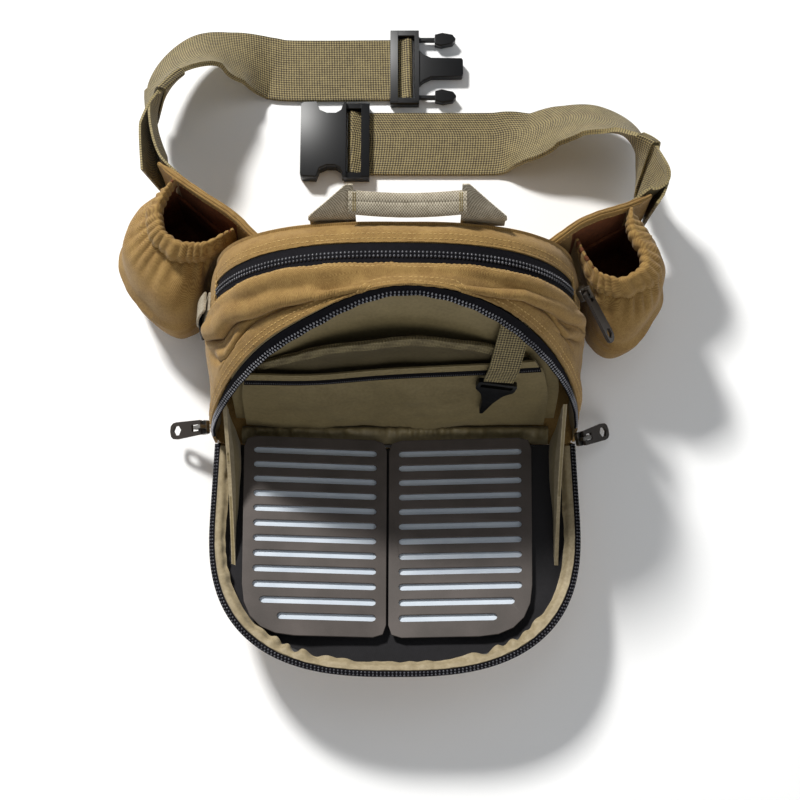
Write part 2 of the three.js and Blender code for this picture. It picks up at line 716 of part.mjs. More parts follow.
// Bottle pockets: gathered pouches on the wings. Each row gives a height, how far the pouch has swelled
// from its mouth to its belly, how far it has closed under, and how strongly the elastic gathers it.
const POCKET_ROWS = [
  { height: 97, swell: 0.03, closed: 0, gather: 0.5 },
  { height: 90, swell: 0, closed: 0, gather: 1 },
  { height: 82, swell: 0.16, closed: 0, gather: 1 },
  { height: 68, swell: 0.64, closed: 0, gather: 0.5 },
  { height: 48, swell: 0.96, closed: 0, gather: 0.1 },
  { height: 24, swell: 1, closed: 0, gather: 0 },
  { height: 8, swell: 1, closed: 0.06, gather: 0 },
  { height: 1.6, swell: 1, closed: 0.3, gather: 0 },
  { height: 1.2, swell: 1, closed: 0.96, gather: 0 },
  { height: 16, swell: 1, closed: 1, gather: 0 },
];

// Seen from above, a pouch leaves the wing at its near end, rounds the pack's corner and comes back to the
// wing at its far end: the mouth's outline and the belly's have matching points.
const POCKETS = {
  left: {
    near: 26, mouthFar: 83, bellyFar: 90,
    mouth: [[-118, 65], [-130, 56], [-142, 51.5], [-153, 57], [-162, 70], [-165, 86], [-161, 101]],
    belly: [[-122, 66], [-136, 55], [-143, 29], [-159, 20], [-180, 34], [-200, 66], [-189, 100]],
  },
  right: {
    near: 21, mouthFar: 66, bellyFar: 72,
    mouth: [[131, 60], [138, 49], [146, 37], [162, 32], [179, 35], [186, 46], [175, 64]],
    belly: [[135, 60], [139, 36], [145, 14], [157, 5], [173, 12], [190, 38], [193, 66]],
  },
};
const POCKET_STEPS = 24;
const GATHERS = 6;
const GATHER_DEPTH = 2.2;
const POCKET_SEAT = PADDING / 2 + GAP + CANVAS / 2;

function pocketOutline(place, near, far, middle) {
  const points = [
    wingPoint(place, near, POCKET_SEAT), ...middle.map(([x, y]) => vec(x, y, 0)),
    wingPoint(place, far, POCKET_SEAT)];
  return pointsAlong(smoothLine(points, 80), fractions(POCKET_STEPS));
}

function pocket(place, { near, mouthFar, bellyFar, mouth, belly }) {
  const mouthLine = pocketOutline(place, near, mouthFar, mouth);
  const bellyLine = pocketOutline(place, near, bellyFar, belly);
  const rows = fractions(POCKET_STEPS).map((around, index) => {
    const chord = wingPoint(place, lerp(near, bellyFar, around), POCKET_SEAT);
    const towards = chord.clone().sub(mouthLine[index]).normalize();
    const ruffle = GATHER_DEPTH * Math.sin(Math.PI * around) * Math.cos(2 * Math.PI * GATHERS * around);
    return POCKET_ROWS.map(({ height, swell, closed, gather }) => {
      const open = mouthLine[index].clone().lerp(bellyLine[index], swell);
      return open.addScaledVector(towards, gather * ruffle).lerp(chord, closed).setZ(height);
    });
  });
  return clothWall(place.side < 0 ? rows.reverse() : rows, CANVAS);
}

// Belts: middle line from the wing's tip to the buckle, and how far the upper edge leans inwards
const BELT_ROUTES = {
  left: {
    side: 1, sewnFrom: 56, floorY: 244, bar: 10, keeperAt: vec(-176, 199, 48.5),
    rows: [
      { x: -174.4, y: 162.5, z: 57.4, lean: -3 }, { x: -177.2, y: 183, z: 51, lean: 11 },
      { x: -170.7, y: 214, z: 46.5, lean: 39 }, { x: -147.7, y: 240.8, z: 32, lean: 60 },
      { x: -124, y: 246.4, z: 17, lean: 72 }, { x: -100, y: 245.6, z: 2.6, lean: 89 },
    ],
    tail: [
      { x: -181.6, y: 175, z: 55, lean: 2 }, { x: -179.8, y: 160, z: 57.5, lean: -6 },
      { x: -176.8, y: 143, z: 59, lean: -11 }, { x: -174.8, y: 124, z: 60, lean: -11 },
    ],
  },
  right: {
    side: -1, sewnFrom: 40, floorY: 181.5, bar: -33.5, keeperAt: vec(184, 146, 44),
    rows: [
      { x: 187.4, y: 115.6, z: 60, lean: -12 }, { x: 185.6, y: 137, z: 48, lean: -13 },
      { x: 180.5, y: 155.4, z: 41, lean: 9 }, { x: 172.5, y: 173, z: 37.5, lean: 37 },
      { x: 150, y: 186.2, z: 29.5, lean: 50 }, { x: 126.5, y: 187.3, z: 20.5, lean: 55 },
      { x: 105, y: 182.4, z: 11.3, lean: 64 }, { x: 88, y: 182.2, z: 4.2, lean: 84 },
    ],
    tail: [
      { x: 189.8, y: 121, z: 56.5, lean: -11 }, { x: 188.2, y: 109, z: 58.5, lean: -7 },
      { x: 183.4, y: 98.6, z: 59, lean: -3 },
    ],
  },
};
const FLOOR_LAYER = WEBBING / 2 + 0.1;
const LAYER_STEP = WEBBING + 0.5;
const BAR_TURN = 2.7;
const BAR_FALL = 7;
const BELT_HEIGHT = 60;
const BELT_SAMPLES = 3;

// Stations of webbing through rows that give a middle and how far the upper edge leans inwards
function leanedStations(rows, side, samples) {
  const line = smoothLine(rows.map(({ point }) => point), samples);
  const leans = smoothLine(rows.map(({ lean }, index) => vec(lean, index * 40, 0)), samples);
  return line.map((middle, index) => {
    const ahead = line[Math.min(index + 1, line.length - 1)];
    const way = ahead.clone().sub(line[Math.max(index - 1, 0)]).normalize();
    const up = vec(0, 0, 1).addScaledVector(way, -way.z).normalize();
    const inwards = way.clone().cross(up).multiplyScalar(side);
    const lean = radians(leans[index].x);
    const edge = up.multiplyScalar(Math.cos(lean)).addScaledVector(inwards, Math.sin(lean)).normalize();
    const outwards = edge.clone().cross(way).multiplyScalar(side).normalize();
    return { middle: middle.setZ(Math.max(middle.z, FLOOR_LAYER)), edge, outwards };
  });
}

// The run from the wing, where the webbing is sewn on, over its arch and along the floor to the bar
function beltRun(route, place) {
  const behind = -(PADDING / 2 + 2 * GAP + WEBBING / 2);
  const beyond = { along: 4, back: 1.6 };
  const sewn = [[route.sewnFrom, behind], [place.length - 12, behind],
    [place.length + beyond.along, behind - beyond.back]].map(([along, out]) => (
    { point: wingPoint(place, along, out).setZ(BELT_HEIGHT), lean: 0 }));
  const free = route.rows.map(({ x, y, z, lean }) => ({ point: vec(x, y, z), lean }));
  const landing = route.rows[route.rows.length - 1].x + route.side * 12;
  const lying = [landing, route.bar].map((x) => ({ point: vec(x, route.floorY, FLOOR_LAYER), lean: 90 }));
  const rows = [...sewn, ...free, ...lying];
  return leanedStations(rows, route.side, (rows.length - 1) * BELT_SAMPLES);
}

// The webbing turns up round the buckle's bar and comes down to lie on its first layer
function barTurn(route) {
  const edge = vec(0, -1, 0);
  const turn = [-50, -10, 30, 70, 110].map((degrees) => {
    const angle = radians(degrees);
    const x = route.bar + route.side * BAR_TURN * Math.cos(angle);
    const z = FLOOR_LAYER + BAR_TURN + BAR_TURN * Math.sin(angle);
    return { middle: vec(x, route.floorY, z), edge };
  });
  const down = vec(route.bar - route.side * BAR_FALL, route.floorY, FLOOR_LAYER + LAYER_STEP);
  return [...turn, { middle: down, edge }];
}

// The layer that comes back over the run, from the bar to just past its keeper
function returnLayer(route, run) {
  const bar = vec(route.bar, route.floorY, 0);
  const back = run.slice(keeperIndex(route, run) - 1).reverse();
  const clear = back.filter(({ middle }) => bar.distanceTo(middle.clone().setZ(0)) > 2 * BAR_FALL);
  return clear.map(({ middle, edge, outwards }) => (
    { middle: middle.clone().addScaledVector(outwards, LAYER_STEP), edge }));
}

function keeperIndex(route, run) {
  const distances = run.map(({ middle }) => middle.distanceTo(route.keeperAt));
  return distances.indexOf(Math.min(...distances));
}

// The loose end beyond the keeper, starting where the layer on the run stops
function tailStations(route, last) {
  const rows = [{ point: last.middle, lean: 0 }, ...route.tail.map(({ x, y, z, lean }) => (
    { point: vec(x, y, z), lean }))];
  const stations = leanedStations(rows, -route.side, (rows.length - 1) * 2);
  const ease = stations.length / 2;
  return stations.slice(1).map(({ middle, edge }, index) => {
    const share = Math.min(1, (index + 1) / ease);
    return { middle, edge: last.edge.clone().lerp(edge, share).normalize() };
  });
}

function belt(route, place) {
  const run = beltRun(route, place);
  const back = returnLayer(route, run);
  const tail = tailStations(route, back[back.length - 1]);
  const wide = [...run, ...barTurn(route), ...back, ...tail].map(({ middle, edge }) => (
    { middle, edge: edge.clone().multiplyScalar(BELT_WIDTH / 2) }));
  return ribbon(wide, WEBBING);
}

// A sleeve round both layers of the belt
function keeper(route, place) {
  const run = beltRun(route, place);
  const seat = keeperIndex(route, run);
  const halfWide = BELT_WIDTH / 2 + 2.2;
  const halfHigh = (LAYER_STEP + WEBBING) / 2 + 2 * GAP + TAPE / 2 + 0.3;
  const loop = [[1, -1], [1, 1], [0, 1], [-1, 1], [-1, -1], [0, -1]];
  const rows = loop.map(([wide, high]) => [-1, 0, 1].map((step) => {
    const { middle, edge, outwards } = run[seat + step];
    return middle.clone().addScaledVector(edge, wide * halfWide)
      .addScaledVector(outwards, LAYER_STEP / 2 + high * halfHigh);
  }));
  return clothWall(rows, TAPE, true);
}

// Buckle: both halves lie flat on the floor, with the webbing round their bars
const BUCKLE = { half: 31, window: 26.7, low: 0.3, high: 9, barHalf: 1.15, outerLow: 4.6 };

function buckleBlock(route, fromX, toX, fromY, toY, low, high) {
  const y = route.floorY;
  return boxBetween(vec(Math.min(fromX, toX), y + fromY, low), vec(Math.max(fromX, toX), y + toY, high));
}

// The webbing frame: side rails, the outer bar, the bar that the webbing turns round, and the bridge
function buckleFrame(route, outer, bridge) {
  const { half, window, low, high, barHalf, outerLow } = BUCKLE;
  const barZ = FLOOR_LAYER + BAR_TURN;
  const bar = route.bar;
  return [
    buckleBlock(route, outer[0], bridge[1], -half, -window, low, high),
    buckleBlock(route, outer[0], bridge[1], window, half, low, high),
    buckleBlock(route, outer[0], outer[1], -half + 1, half - 1, outerLow, high + 0.4),
    buckleBlock(route, bar - barHalf, bar + barHalf, -half + 1, half - 1, barZ - barHalf, barZ + barHalf),
    buckleBlock(route, bridge[0], bridge[1], -half + 1, half - 1, low, high + 0.4),
  ];
}

// A flat outline on the floor at the buckle, from [x, y] corners, raised to a thickness
function buckleSlab(route, corners, low, high) {
  const shape = new THREE.Shape(corners.map(([x, y]) => new THREE.Vector2(x, y + route.floorY)));
  return plateFrom(shape, high - low).translate(0, 0, low);
}

function buckleMale(route) {
  const prong = [[17, -16], [22, -11], [28, -8], [52, -7.6], [53, -6], [53, 6], [52, 7.6], [28, 8],
    [22, 11], [17, 16]];
  const arm = [[17, 23.4], [33, 23.4], [33, 26], [17, 26]];
  const head = [[31, 20.5], [36, 19], [45, 21], [47.5, 24.5], [45, 28], [37, 29.6], [31, 28]];
  const mirrored = (corners) => corners.map(([x, y]) => [x, -y]).reverse();
  return fuse([
    ...buckleFrame(route, [-4, 2], [15, 18.5]),
    buckleSlab(route, prong, 1, 8),
    ...[arm, mirrored(arm)].map((corners) => buckleSlab(route, corners, 2.6, 6.4)),
    ...[head, mirrored(head)].map((corners) => buckleSlab(route, corners, 1, 8)),
  ]);
}

function buckleFemale(route) {
  const notch = [[-61, 31], [-58.5, 24], [-53, 21.5], [-46, 21.5], [-42, 24], [-39.5, 31]];
  const upper = [[-73, 29], [-71, 30.5], ...notch, [-38, 31]];
  const lower = upper.map(([x, y]) => [x, -y]).reverse();
  const body = fuse([
    buckleSlab(route, [...upper, ...lower], BUCKLE.low, 12.5),
    ...buckleFrame(route, [-20, -26.5], [-41, -38]),
  ]);
  const mouth = buckleBlock(route, -75, -44, -20, 20, 3.4, 9.6);
  return cutAway(body, [mouth]);
}

// Side loop: a folded tab of webbing on the left, holding a moulded ring
const TAB = { width: 14.5, lean: 12 };
const TAB_ROWS = [
  { x: -127.7, y: 24.5, z: 90 }, { x: -130.7, y: 23.1, z: 79 }, { x: -133.8, y: 21.5, z: 68 },
  { x: -134.4, y: 20.7, z: 64 }, { x: -136.3, y: 20.3, z: 61.8 }, { x: -138.2, y: 20.7, z: 64 },
  { x: -138.5, y: 21.5, z: 68 }, { x: -135.5, y: 23.1, z: 80 }, { x: -130.5, y: 24.5, z: 91 },
];
const RING = { wide: 24, high: 21, bar: 2.6, thick: 2, x: -136.15, y: 21.5, top: 70.4 };

function sideTab() {
  const lean = radians(TAB.lean);
  const edge = vec(0, Math.cos(lean), -Math.sin(lean)).multiplyScalar(TAB.width / 2);
  const stations = TAB_ROWS.map(({ x, y, z }) => ({ middle: vec(x, y, z), edge }));
  return ribbon(stations, TAPE);
}

function sideRing() {
  const { wide, high, bar, thick, x, y, top } = RING;
  const shape = roundedBox(wide, high, 7);
  shape.holes = [roundedBox(wide - 2 * bar, high - 2 * bar, 2.5)];
  const ring = plateFrom(shape, thick, 3);
  ring.rotateX(Math.PI / 2).rotateZ(Math.PI / 2);
  ring.translate(x - thick / 2, 0, -high / 2);
  ring.rotateX(-radians(TAB.lean));
  return ring.translate(0, y, top);
}

// Zip sliders: each has a body on its tape and a loop that the pull tab's end bar turns in
const SLIDER = { long: 9, wide: 10, thick: 3.4, loopWide: 2.6, loopLong: 8.4, loopHigh: 5.2, wall: 1.4 };
const PULL = { wide: 13, corner: 6, thick: 2.2, bar: 1.1, eyeWide: 5, eyeLong: 6.4, hole: 8 };

// The axes of a slider: out of its tape, along its pull at rest, and across, which is the pull's axis
function sliderAxes({ out, pull }) {
  const outwards = out.clone().normalize();
  const along = pull.clone().addScaledVector(outwards, -pull.dot(outwards)).normalize();
  return { outwards, along, sideways: outwards.clone().cross(along) };
}

function placed(geometry, origin, x, y, z) {
  return geometry.applyMatrix4(new THREE.Matrix4().makeBasis(x, y, z).setPosition(origin));
}

const pivotHeight = SLIDER.thick + (SLIDER.loopHigh - SLIDER.wall) / 2;

function slider(place) {
  const { long, wide, thick, loopWide, loopLong, loopHigh, wall } = SLIDER;
  const { outwards, along, sideways } = sliderAxes(place);
  const body = plateFrom(roundedBox(long, wide, 2), thick, 3);
  const loop = boxBetween(vec(-loopLong / 2, -loopWide / 2, thick - 0.5),
    vec(loopLong / 2, loopWide / 2, thick + loopHigh));
  const eye = boxBetween(vec(-loopLong / 2 + wall, -loopWide, thick),
    vec(loopLong / 2 - wall, loopWide, thick + loopHigh - wall));
  const whole = fuse([body, cutAway(loop, [eye])]);
  return placed(whole, place.at, along, sideways, outwards);
}

function pullPivot(place) {
  const { outwards } = sliderAxes(place);
  return place.at.clone().addScaledVector(outwards, pivotHeight);
}

// The pull tab: a rounded plate with an eye round the slider's loop and a round hole at its far end
function pullTab(place) {
  const { wide, corner, thick, bar, eyeWide, eyeLong, hole } = PULL;
  const { long } = place;
  const { sideways } = sliderAxes(place);
  const half = wide / 2;
  const shape = roundedOutline([[-bar, -half * 0.8, 0.8], [long, -half, corner], [long, half, corner],
    [-bar, half * 0.8, 0.8]]);
  const eye = new THREE.Path();
  eye.moveTo(bar, -eyeWide / 2);
  eye.lineTo(bar + eyeLong, -eyeWide / 2);
  eye.lineTo(bar + eyeLong, eyeWide / 2);
  eye.lineTo(bar, eyeWide / 2);
  const round = new THREE.Path();
  round.absarc(long - half, 0, hole / 2, 0, 2 * Math.PI, false);
  shape.holes = [eye, round];
  const tab = plateFrom(shape, thick, 3).translate(0, 0, -thick / 2);
  const along = place.pull.clone().normalize();
  return placed(tab, pullPivot(place), along, sideways, along.clone().cross(sideways));
}

// Where the sliders stand: a point on the tape, the way out of it, and the way the pull lies
const SLIDERS = {
  main: { at: vec(126.6, 26.8, 98.2), out: vec(0.82, 0.1, 0.55), pull: vec(22, -33, -23), long: 40 },
  left: { at: vec(-135.8, -50, 26), out: vec(-0.72, -0.1, 0.68), pull: vec(-26, 0, -17), long: 28 },
  right: { at: vec(133.4, -56.5, 18.4), out: vec(0.6, -0.1, 0.79), pull: vec(18, 9, -15), long: 27 },
};

// Assembly
addPiece('back_panel', backPanel(), COLOURS.canvas);
addPiece('base_panel', basePanel(), COLOURS.canvas);
addPiece('rear_gusset', rearGusset(), COLOURS.canvas);
addPiece('main_zip_tape', mainZipTape(), COLOURS.black);
addPiece('front_gusset', frontGusset(), COLOURS.canvas);
addPiece('arch_zip_tape', archZipTape(), COLOURS.black);
addPiece('divider', divider(), COLOURS.lining);
addPiece('slip_pocket', slipPocket(), COLOURS.lining);
addPiece('pocket_band', pocketBand(), COLOURS.lining);
addPiece('pocket_zip', pocketZip(), COLOURS.black);
addPiece('zip_pocket', zipPocket(), COLOURS.lining);
addPiece('hinge_pleat', hingePleat(), COLOURS.lining);
addPiece('flap_shell', flapShell(), COLOURS.canvas);
addPiece('flap_zip_tape', flapZipTape(), COLOURS.black);
addPiece('flap_binding', flapBinding(), COLOURS.binding);
addPiece('flap_lining', flapLining(), COLOURS.flapLining);
addPiece('key_strap', keyStrap(), COLOURS.webbing);
addPiece('key_hook', keyHook(), COLOURS.plastic, 0.5);
addPiece('handle', fuse([...HANDLE_LEGS.map(handleLeg), handleGrip()]), COLOURS.handle);
for (const side of ['left', 'right']) {
  const route = BELT_ROUTES[side];
  const place = WINGS[side];
  addPiece(`flap_gusset_${side}`, flapGusset(place.side), COLOURS.lining);
  addPiece(`insert_plate_${side}`, insertPlate(INSERTS[side]), COLOURS.plate, 0.7);
  addPiece(`insert_foam_${side}`, insertFoam(INSERTS[side]), COLOURS.foam);
  addPiece(`wing_${side}`, wing(place), COLOURS.canvas);
  addPiece(`pocket_${side}`, pocket(place, POCKETS[side]), COLOURS.canvas);
  addPiece(`belt_${side}`, belt(route, place), COLOURS.webbing);
  addPiece(`keeper_${side}`, keeper(route, place), COLOURS.webbing);
  addPiece(`flap_slider_${side}`, slider(SLIDERS[side]), COLOURS.metal, 0.4, 0.8);
  addPiece(`flap_pull_${side}`, pullTab(SLIDERS[side]), COLOURS.pull, 0.6);
}
addPiece('buckle_male', buckleMale(BELT_ROUTES.left), COLOURS.plastic, 0.5);
addPiece('buckle_female', buckleFemale(BELT_ROUTES.right), COLOURS.plastic, 0.5);
addPiece('side_tab', sideTab(), COLOURS.webbing);
addPiece('side_ring', sideRing(), COLOURS.plastic, 0.5);
addPiece('main_slider', slider(SLIDERS.main), COLOURS.metal, 0.4, 0.8);
addPiece('main_pull', pullTab(SLIDERS.main), COLOURS.pull, 0.6);

export default pack;
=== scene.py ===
# %% [markdown]
# # A canvas fishing pack, standing open
# The pack is a waist bag of waxed canvas. Its front flap is zipped down to show two slotted fly panels,
# and its webbing belt arches away behind. The solids of every piece already exist as a fixed frame. This
# lesson loads them, keeps the hard ones, and sews a finer cloth piece over each soft one, in the same
# place.

import math
from collections import namedtuple

import bpy
import numpy as np
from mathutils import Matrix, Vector, noise


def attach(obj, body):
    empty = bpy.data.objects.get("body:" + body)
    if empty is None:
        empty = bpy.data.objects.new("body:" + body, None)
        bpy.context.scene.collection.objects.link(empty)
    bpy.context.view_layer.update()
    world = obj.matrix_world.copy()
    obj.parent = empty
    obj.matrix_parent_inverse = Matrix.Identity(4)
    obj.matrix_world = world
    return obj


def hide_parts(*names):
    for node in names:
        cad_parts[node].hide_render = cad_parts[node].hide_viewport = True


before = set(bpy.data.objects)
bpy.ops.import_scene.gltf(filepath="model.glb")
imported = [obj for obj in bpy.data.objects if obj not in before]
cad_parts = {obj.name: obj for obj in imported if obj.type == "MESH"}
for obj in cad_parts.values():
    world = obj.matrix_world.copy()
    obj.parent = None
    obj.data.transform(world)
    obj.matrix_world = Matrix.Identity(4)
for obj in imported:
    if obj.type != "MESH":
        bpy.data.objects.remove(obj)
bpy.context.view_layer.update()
BODY = "pack"
MM = 0.001

# %% [markdown]
# ## The camera
# The photo looks steeply down on the open front, so that the flap, the pockets and the belt all show at
# once. A long lens keeps the far belt nearly as large as the flap. The camera comes first, because every
# later choice of detail is judged through it.

# %% Camera
TARGET = Vector((3.6, -23.0, 0.0)) * MM
ELEVATION = math.radians(76.0)
DISTANCE = 1.04
camera = bpy.data.objects.new("camera", bpy.data.cameras.new("camera"))
camera.data.lens = 63.0
camera.data.sensor_width = 36.0
towards_camera = Vector((0.0, -math.cos(ELEVATION), math.sin(ELEVATION)))
camera.location = TARGET + towards_camera * DISTANCE
camera.rotation_euler = (math.pi / 2 - ELEVATION, 0.0, 0.0)
bpy.context.scene.collection.objects.link(camera)
bpy.context.scene.camera = camera
print("camera at", [round(value, 3) for value in camera.location])

# %% [markdown]
# ## Light
# One lamp behind the pack's left shoulder throws the shadow towards the lower right. A broad, weaker lamp
# in front opens that shadow. Two faint ones put a sheen on the buckles and on the right side, and a pale
# surround does the rest. A photographed surround could light it too, but plain lamps are easier to steer.

# %% Lights
def area_light(name, place, aim, size, watts, colour=(1.0, 1.0, 1.0)):
    lamp = bpy.data.objects.new(name, bpy.data.lights.new(name, "AREA"))
    lamp.data.size = size
    lamp.data.energy = watts
    lamp.data.color = colour
    lamp.location = place
    lamp.rotation_euler = (Vector(aim) - Vector(place)).to_track_quat("-Z", "Y").to_euler()
    bpy.context.scene.collection.objects.link(lamp)
    return lamp


area_light("key", (-1.26, 1.94, 2.0), (0, 0, 0.05), 0.42, 118, (1.0, 0.99, 0.965))
area_light("fill", (0.5, -2.3, 1.5), (0, -0.05, 0.1), 2.0, 22)
area_light("overhead", (0.0, 0.75, 2.5), (0, 0.1, 0.0), 0.9, 2)
area_light("rim", (1.9, 0.7, 1.2), (0, 0.05, 0.1), 1.2, 3)
world = bpy.context.scene.world or bpy.data.worlds.new("surround")
bpy.context.scene.world = world
world.use_nodes = True
world.node_tree.nodes["Background"].inputs["Color"].default_value = (0.9, 0.95, 1.0, 1.0)
world.node_tree.nodes["Background"].inputs["Strength"].default_value = 0.2
bpy.context.scene.view_settings.view_transform = "Standard"

# %% [markdown]
# ## Colours and nodes
# Colours are written as the sRGB hex values that a colour picker shows, and one function turns them to
# the linear numbers that a shader works with. One small function adds a node, sets it and links it.

# %% Colour and node helpers
def linear(hex_colour):
    values = [int(hex_colour[start:start + 2], 16) / 255 for start in (0, 2, 4)]
    return (*[v / 12.92 if v <= 0.04045 else ((v + 0.055) / 1.055) ** 2.4 for v in values], 1.0)


def add_node(tree, kind, inputs=None, links=None, **settings):
    node = tree.nodes.new(kind)
    for name, value in settings.items():
        setattr(node, name, value)
    for socket, value in (inputs or {}).items():
        node.inputs[socket].default_value = value
    for socket, source in (links or {}).items():
        tree.links.new(source, node.inputs[socket])
    return node


def new_material(name, roughness, **shader_values):
    material = bpy.data.materials.new(name)
    material.use_nodes = True
    shader = material.node_tree.nodes["Principled BSDF"]
    shader.inputs["Roughness"].default_value = roughness
    for socket, value in shader_values.items():
        shader.inputs[socket.replace("_", " ")].default_value = value
    return material, material.node_tree, shader


print("mid grey in linear light", round(linear("808080")[0], 3))

# %% [markdown]
# ## Woven cloth
# Canvas, webbing, zip tape and lining are all woven, so one recipe serves them: two sets of waves along
# the cloth's own two directions cross to make the over and under of the threads, and a broad noise
# mottles the dye. Each cloth gives its own thread spacing, colours and sheen. The threads of canvas,
# lining and tape are finer than a pixel here, so they are drawn about twice as coarse, just enough to
# break up the highlights. Webbing is drawn at its own spacing. There the two waves are added and not
# multiplied, because its rises and gaps stand in a square grid. An image of the cloth would serve at one
# distance only.

# %% The woven recipe
WAVES_PER_UNIT = 20 / (2 * math.pi)


def wave_scale(spacing_mm):
    return 1 / (WAVES_PER_UNIT * spacing_mm * MM)


def woven(name, light, deep, threads_mm, mottle_mm, roughness, depth_mm=0.12, contrast=0.35, grain_mm=2.2,
          meeting="MULTIPLY", **shader_values):
    material, tree, shader = new_material(name, roughness, **shader_values)
    place = add_node(tree, "ShaderNodeTexCoord")
    threads = [
        add_node(tree, "ShaderNodeTexWave", {"Scale": wave_scale(spacing), "Distortion": 0.6, "Detail": 1.0},
                 {"Vector": place.outputs["UV"]}, bands_direction=direction)
        for spacing, direction in zip(threads_mm, "XY")]
    centred = [add_node(tree, "ShaderNodeMath", {1: 0.5}, {0: wave.outputs["Fac"]}, operation="SUBTRACT")
               for wave in threads]
    crossing = add_node(tree, "ShaderNodeMath", {}, {0: centred[0].outputs[0], 1: centred[1].outputs[0]},
                        operation=meeting)
    mottle = add_node(tree, "ShaderNodeTexNoise",
                      {"Scale": 1 / (mottle_mm * MM), "Detail": 7.0, "Roughness": 0.62},
                      {"Vector": place.outputs["Object"]})
    grain = add_node(tree, "ShaderNodeTexNoise", {"Scale": 1 / (grain_mm * MM), "Detail": 2.0},
                     {"Vector": place.outputs["Object"]})
    dyed = add_node(tree, "ShaderNodeMix", {"Factor": 0.45},
                    {2: mottle.outputs["Fac"], 3: grain.outputs["Fac"]}, data_type="FLOAT")
    shade = add_node(tree, "ShaderNodeMath", {1: contrast}, {0: crossing.outputs[0], 2: dyed.outputs[0]},
                     operation="MULTIPLY_ADD")
    ramp = add_node(tree, "ShaderNodeValToRGB", {}, {"Fac": shade.outputs[0]})
    ramp.color_ramp.elements[0].position = 0.3
    ramp.color_ramp.elements[0].color = linear(deep)
    ramp.color_ramp.elements[1].position = 0.7
    ramp.color_ramp.elements[1].color = linear(light)
    bump = add_node(tree, "ShaderNodeBump", {"Distance": depth_mm * MM, "Strength": 0.8},
                    {"Height": crossing.outputs[0]})
    tree.links.new(ramp.outputs["Color"], shader.inputs["Base Color"])
    tree.links.new(bump.outputs["Normal"], shader.inputs["Normal"])
    return material


print("threads 1 mm apart need a wave scale of", round(wave_scale(1.0)))

# %% [markdown]
# ### The cloths of this pack
# Waxed canvas is a dry, tightly woven cotton: matt, mottled where the wax has moved. The belt is ribbed
# nylon webbing with a faint sheen. The lining is coated nylon, smoother and a little glossy on its folds.
# The flap is lined with black brushed cloth that hooks the fly panels down. Zip tape is a fine black
# polyester.

# %% Cloth materials
# Waxed cotton: matt, mottled where the wax has moved, with a faint dusty bloom.
canvas = woven("waxed_cotton_canvas", "9e7f48", "77582b", (1.1, 1.1), 14, 0.82, depth_mm=0.14, contrast=1.1,
               grain_mm=1.6, Sheen_Weight=0.08, Sheen_Roughness=0.6, Specular_IOR_Level=0.25)
# Canvas darkened to a warm red-brown as painted shade, for the inside of the bottle pockets.
canvas_painted_shade = woven("canvas_red_brown_painted_shade", "7d4722", "4d2710", (1.1, 1.1), 16, 0.9)
# Nylon webbing: a square grid of light rises and dark gaps, with a little sheen.
webbing = woven("ribbed_nylon_webbing", "95865b", "362b17", (2.0, 1.9), 9, 0.7, depth_mm=0.3, contrast=0.7,
                meeting="ADD", Sheen_Weight=0.12, Sheen_Roughness=0.4)
# The handle's webbing: greyer, so that it reads as a pale band on the canvas.
handle_webbing = woven("grey_khaki_webbing", "b9af9b", "766c58", (1.8, 2.0), 8, 0.7, depth_mm=0.4,
                       contrast=1.8)
# Coated nylon: smooth and close, so that its folds show more than its threads.
lining = woven("coated_nylon_lining", "8c7d57", "716342", (0.9, 0.9), 40, 0.52, depth_mm=0.05, contrast=0.2,
               Sheen_Weight=0.1)
# The slip pocket's nylon: the same cloth, darkened as painted shade for its recess under the elastic mouth.
slip_lining_painted_shade = woven("darker_lining_painted_shade", "5a5036", "443b27", (0.9, 0.9), 40, 0.6, depth_mm=0.05,
                     contrast=0.2)
# Flat elastic: fine ribs that run up and down.
elastic = woven("ribbed_elastic", "7b6f4e", "564b32", (2.2, 9.0), 30, 0.7, depth_mm=0.2, contrast=0.8)
# Polyester zip tape: a close black that gives almost no highlight.
zip_tape = woven("polyester_zip_tape", "121116", "09080b", (1.2, 1.2), 12, 0.72, depth_mm=0.05,
                 Specular_IOR_Level=0.08)
# Brushed lining: a nap that drinks the light and glows a little at its edges.
brushed = woven("black_brushed_lining", "18161a", "0e0c0f", (1.4, 1.4), 18, 0.95, depth_mm=0.1,
                Sheen_Weight=0.15, Sheen_Roughness=0.7, Specular_IOR_Level=0.2)
# Folded nylon tape: pale, and slightly glossy along its creases.
binding_cloth = woven("folded_nylon_binding", "a8997a", "857658", (1.0, 1.0), 10, 0.62, depth_mm=0.12,
                      contrast=0.3, Sheen_Weight=0.15)
print("ten cloths, from", canvas.name, "to", binding_cloth.name)
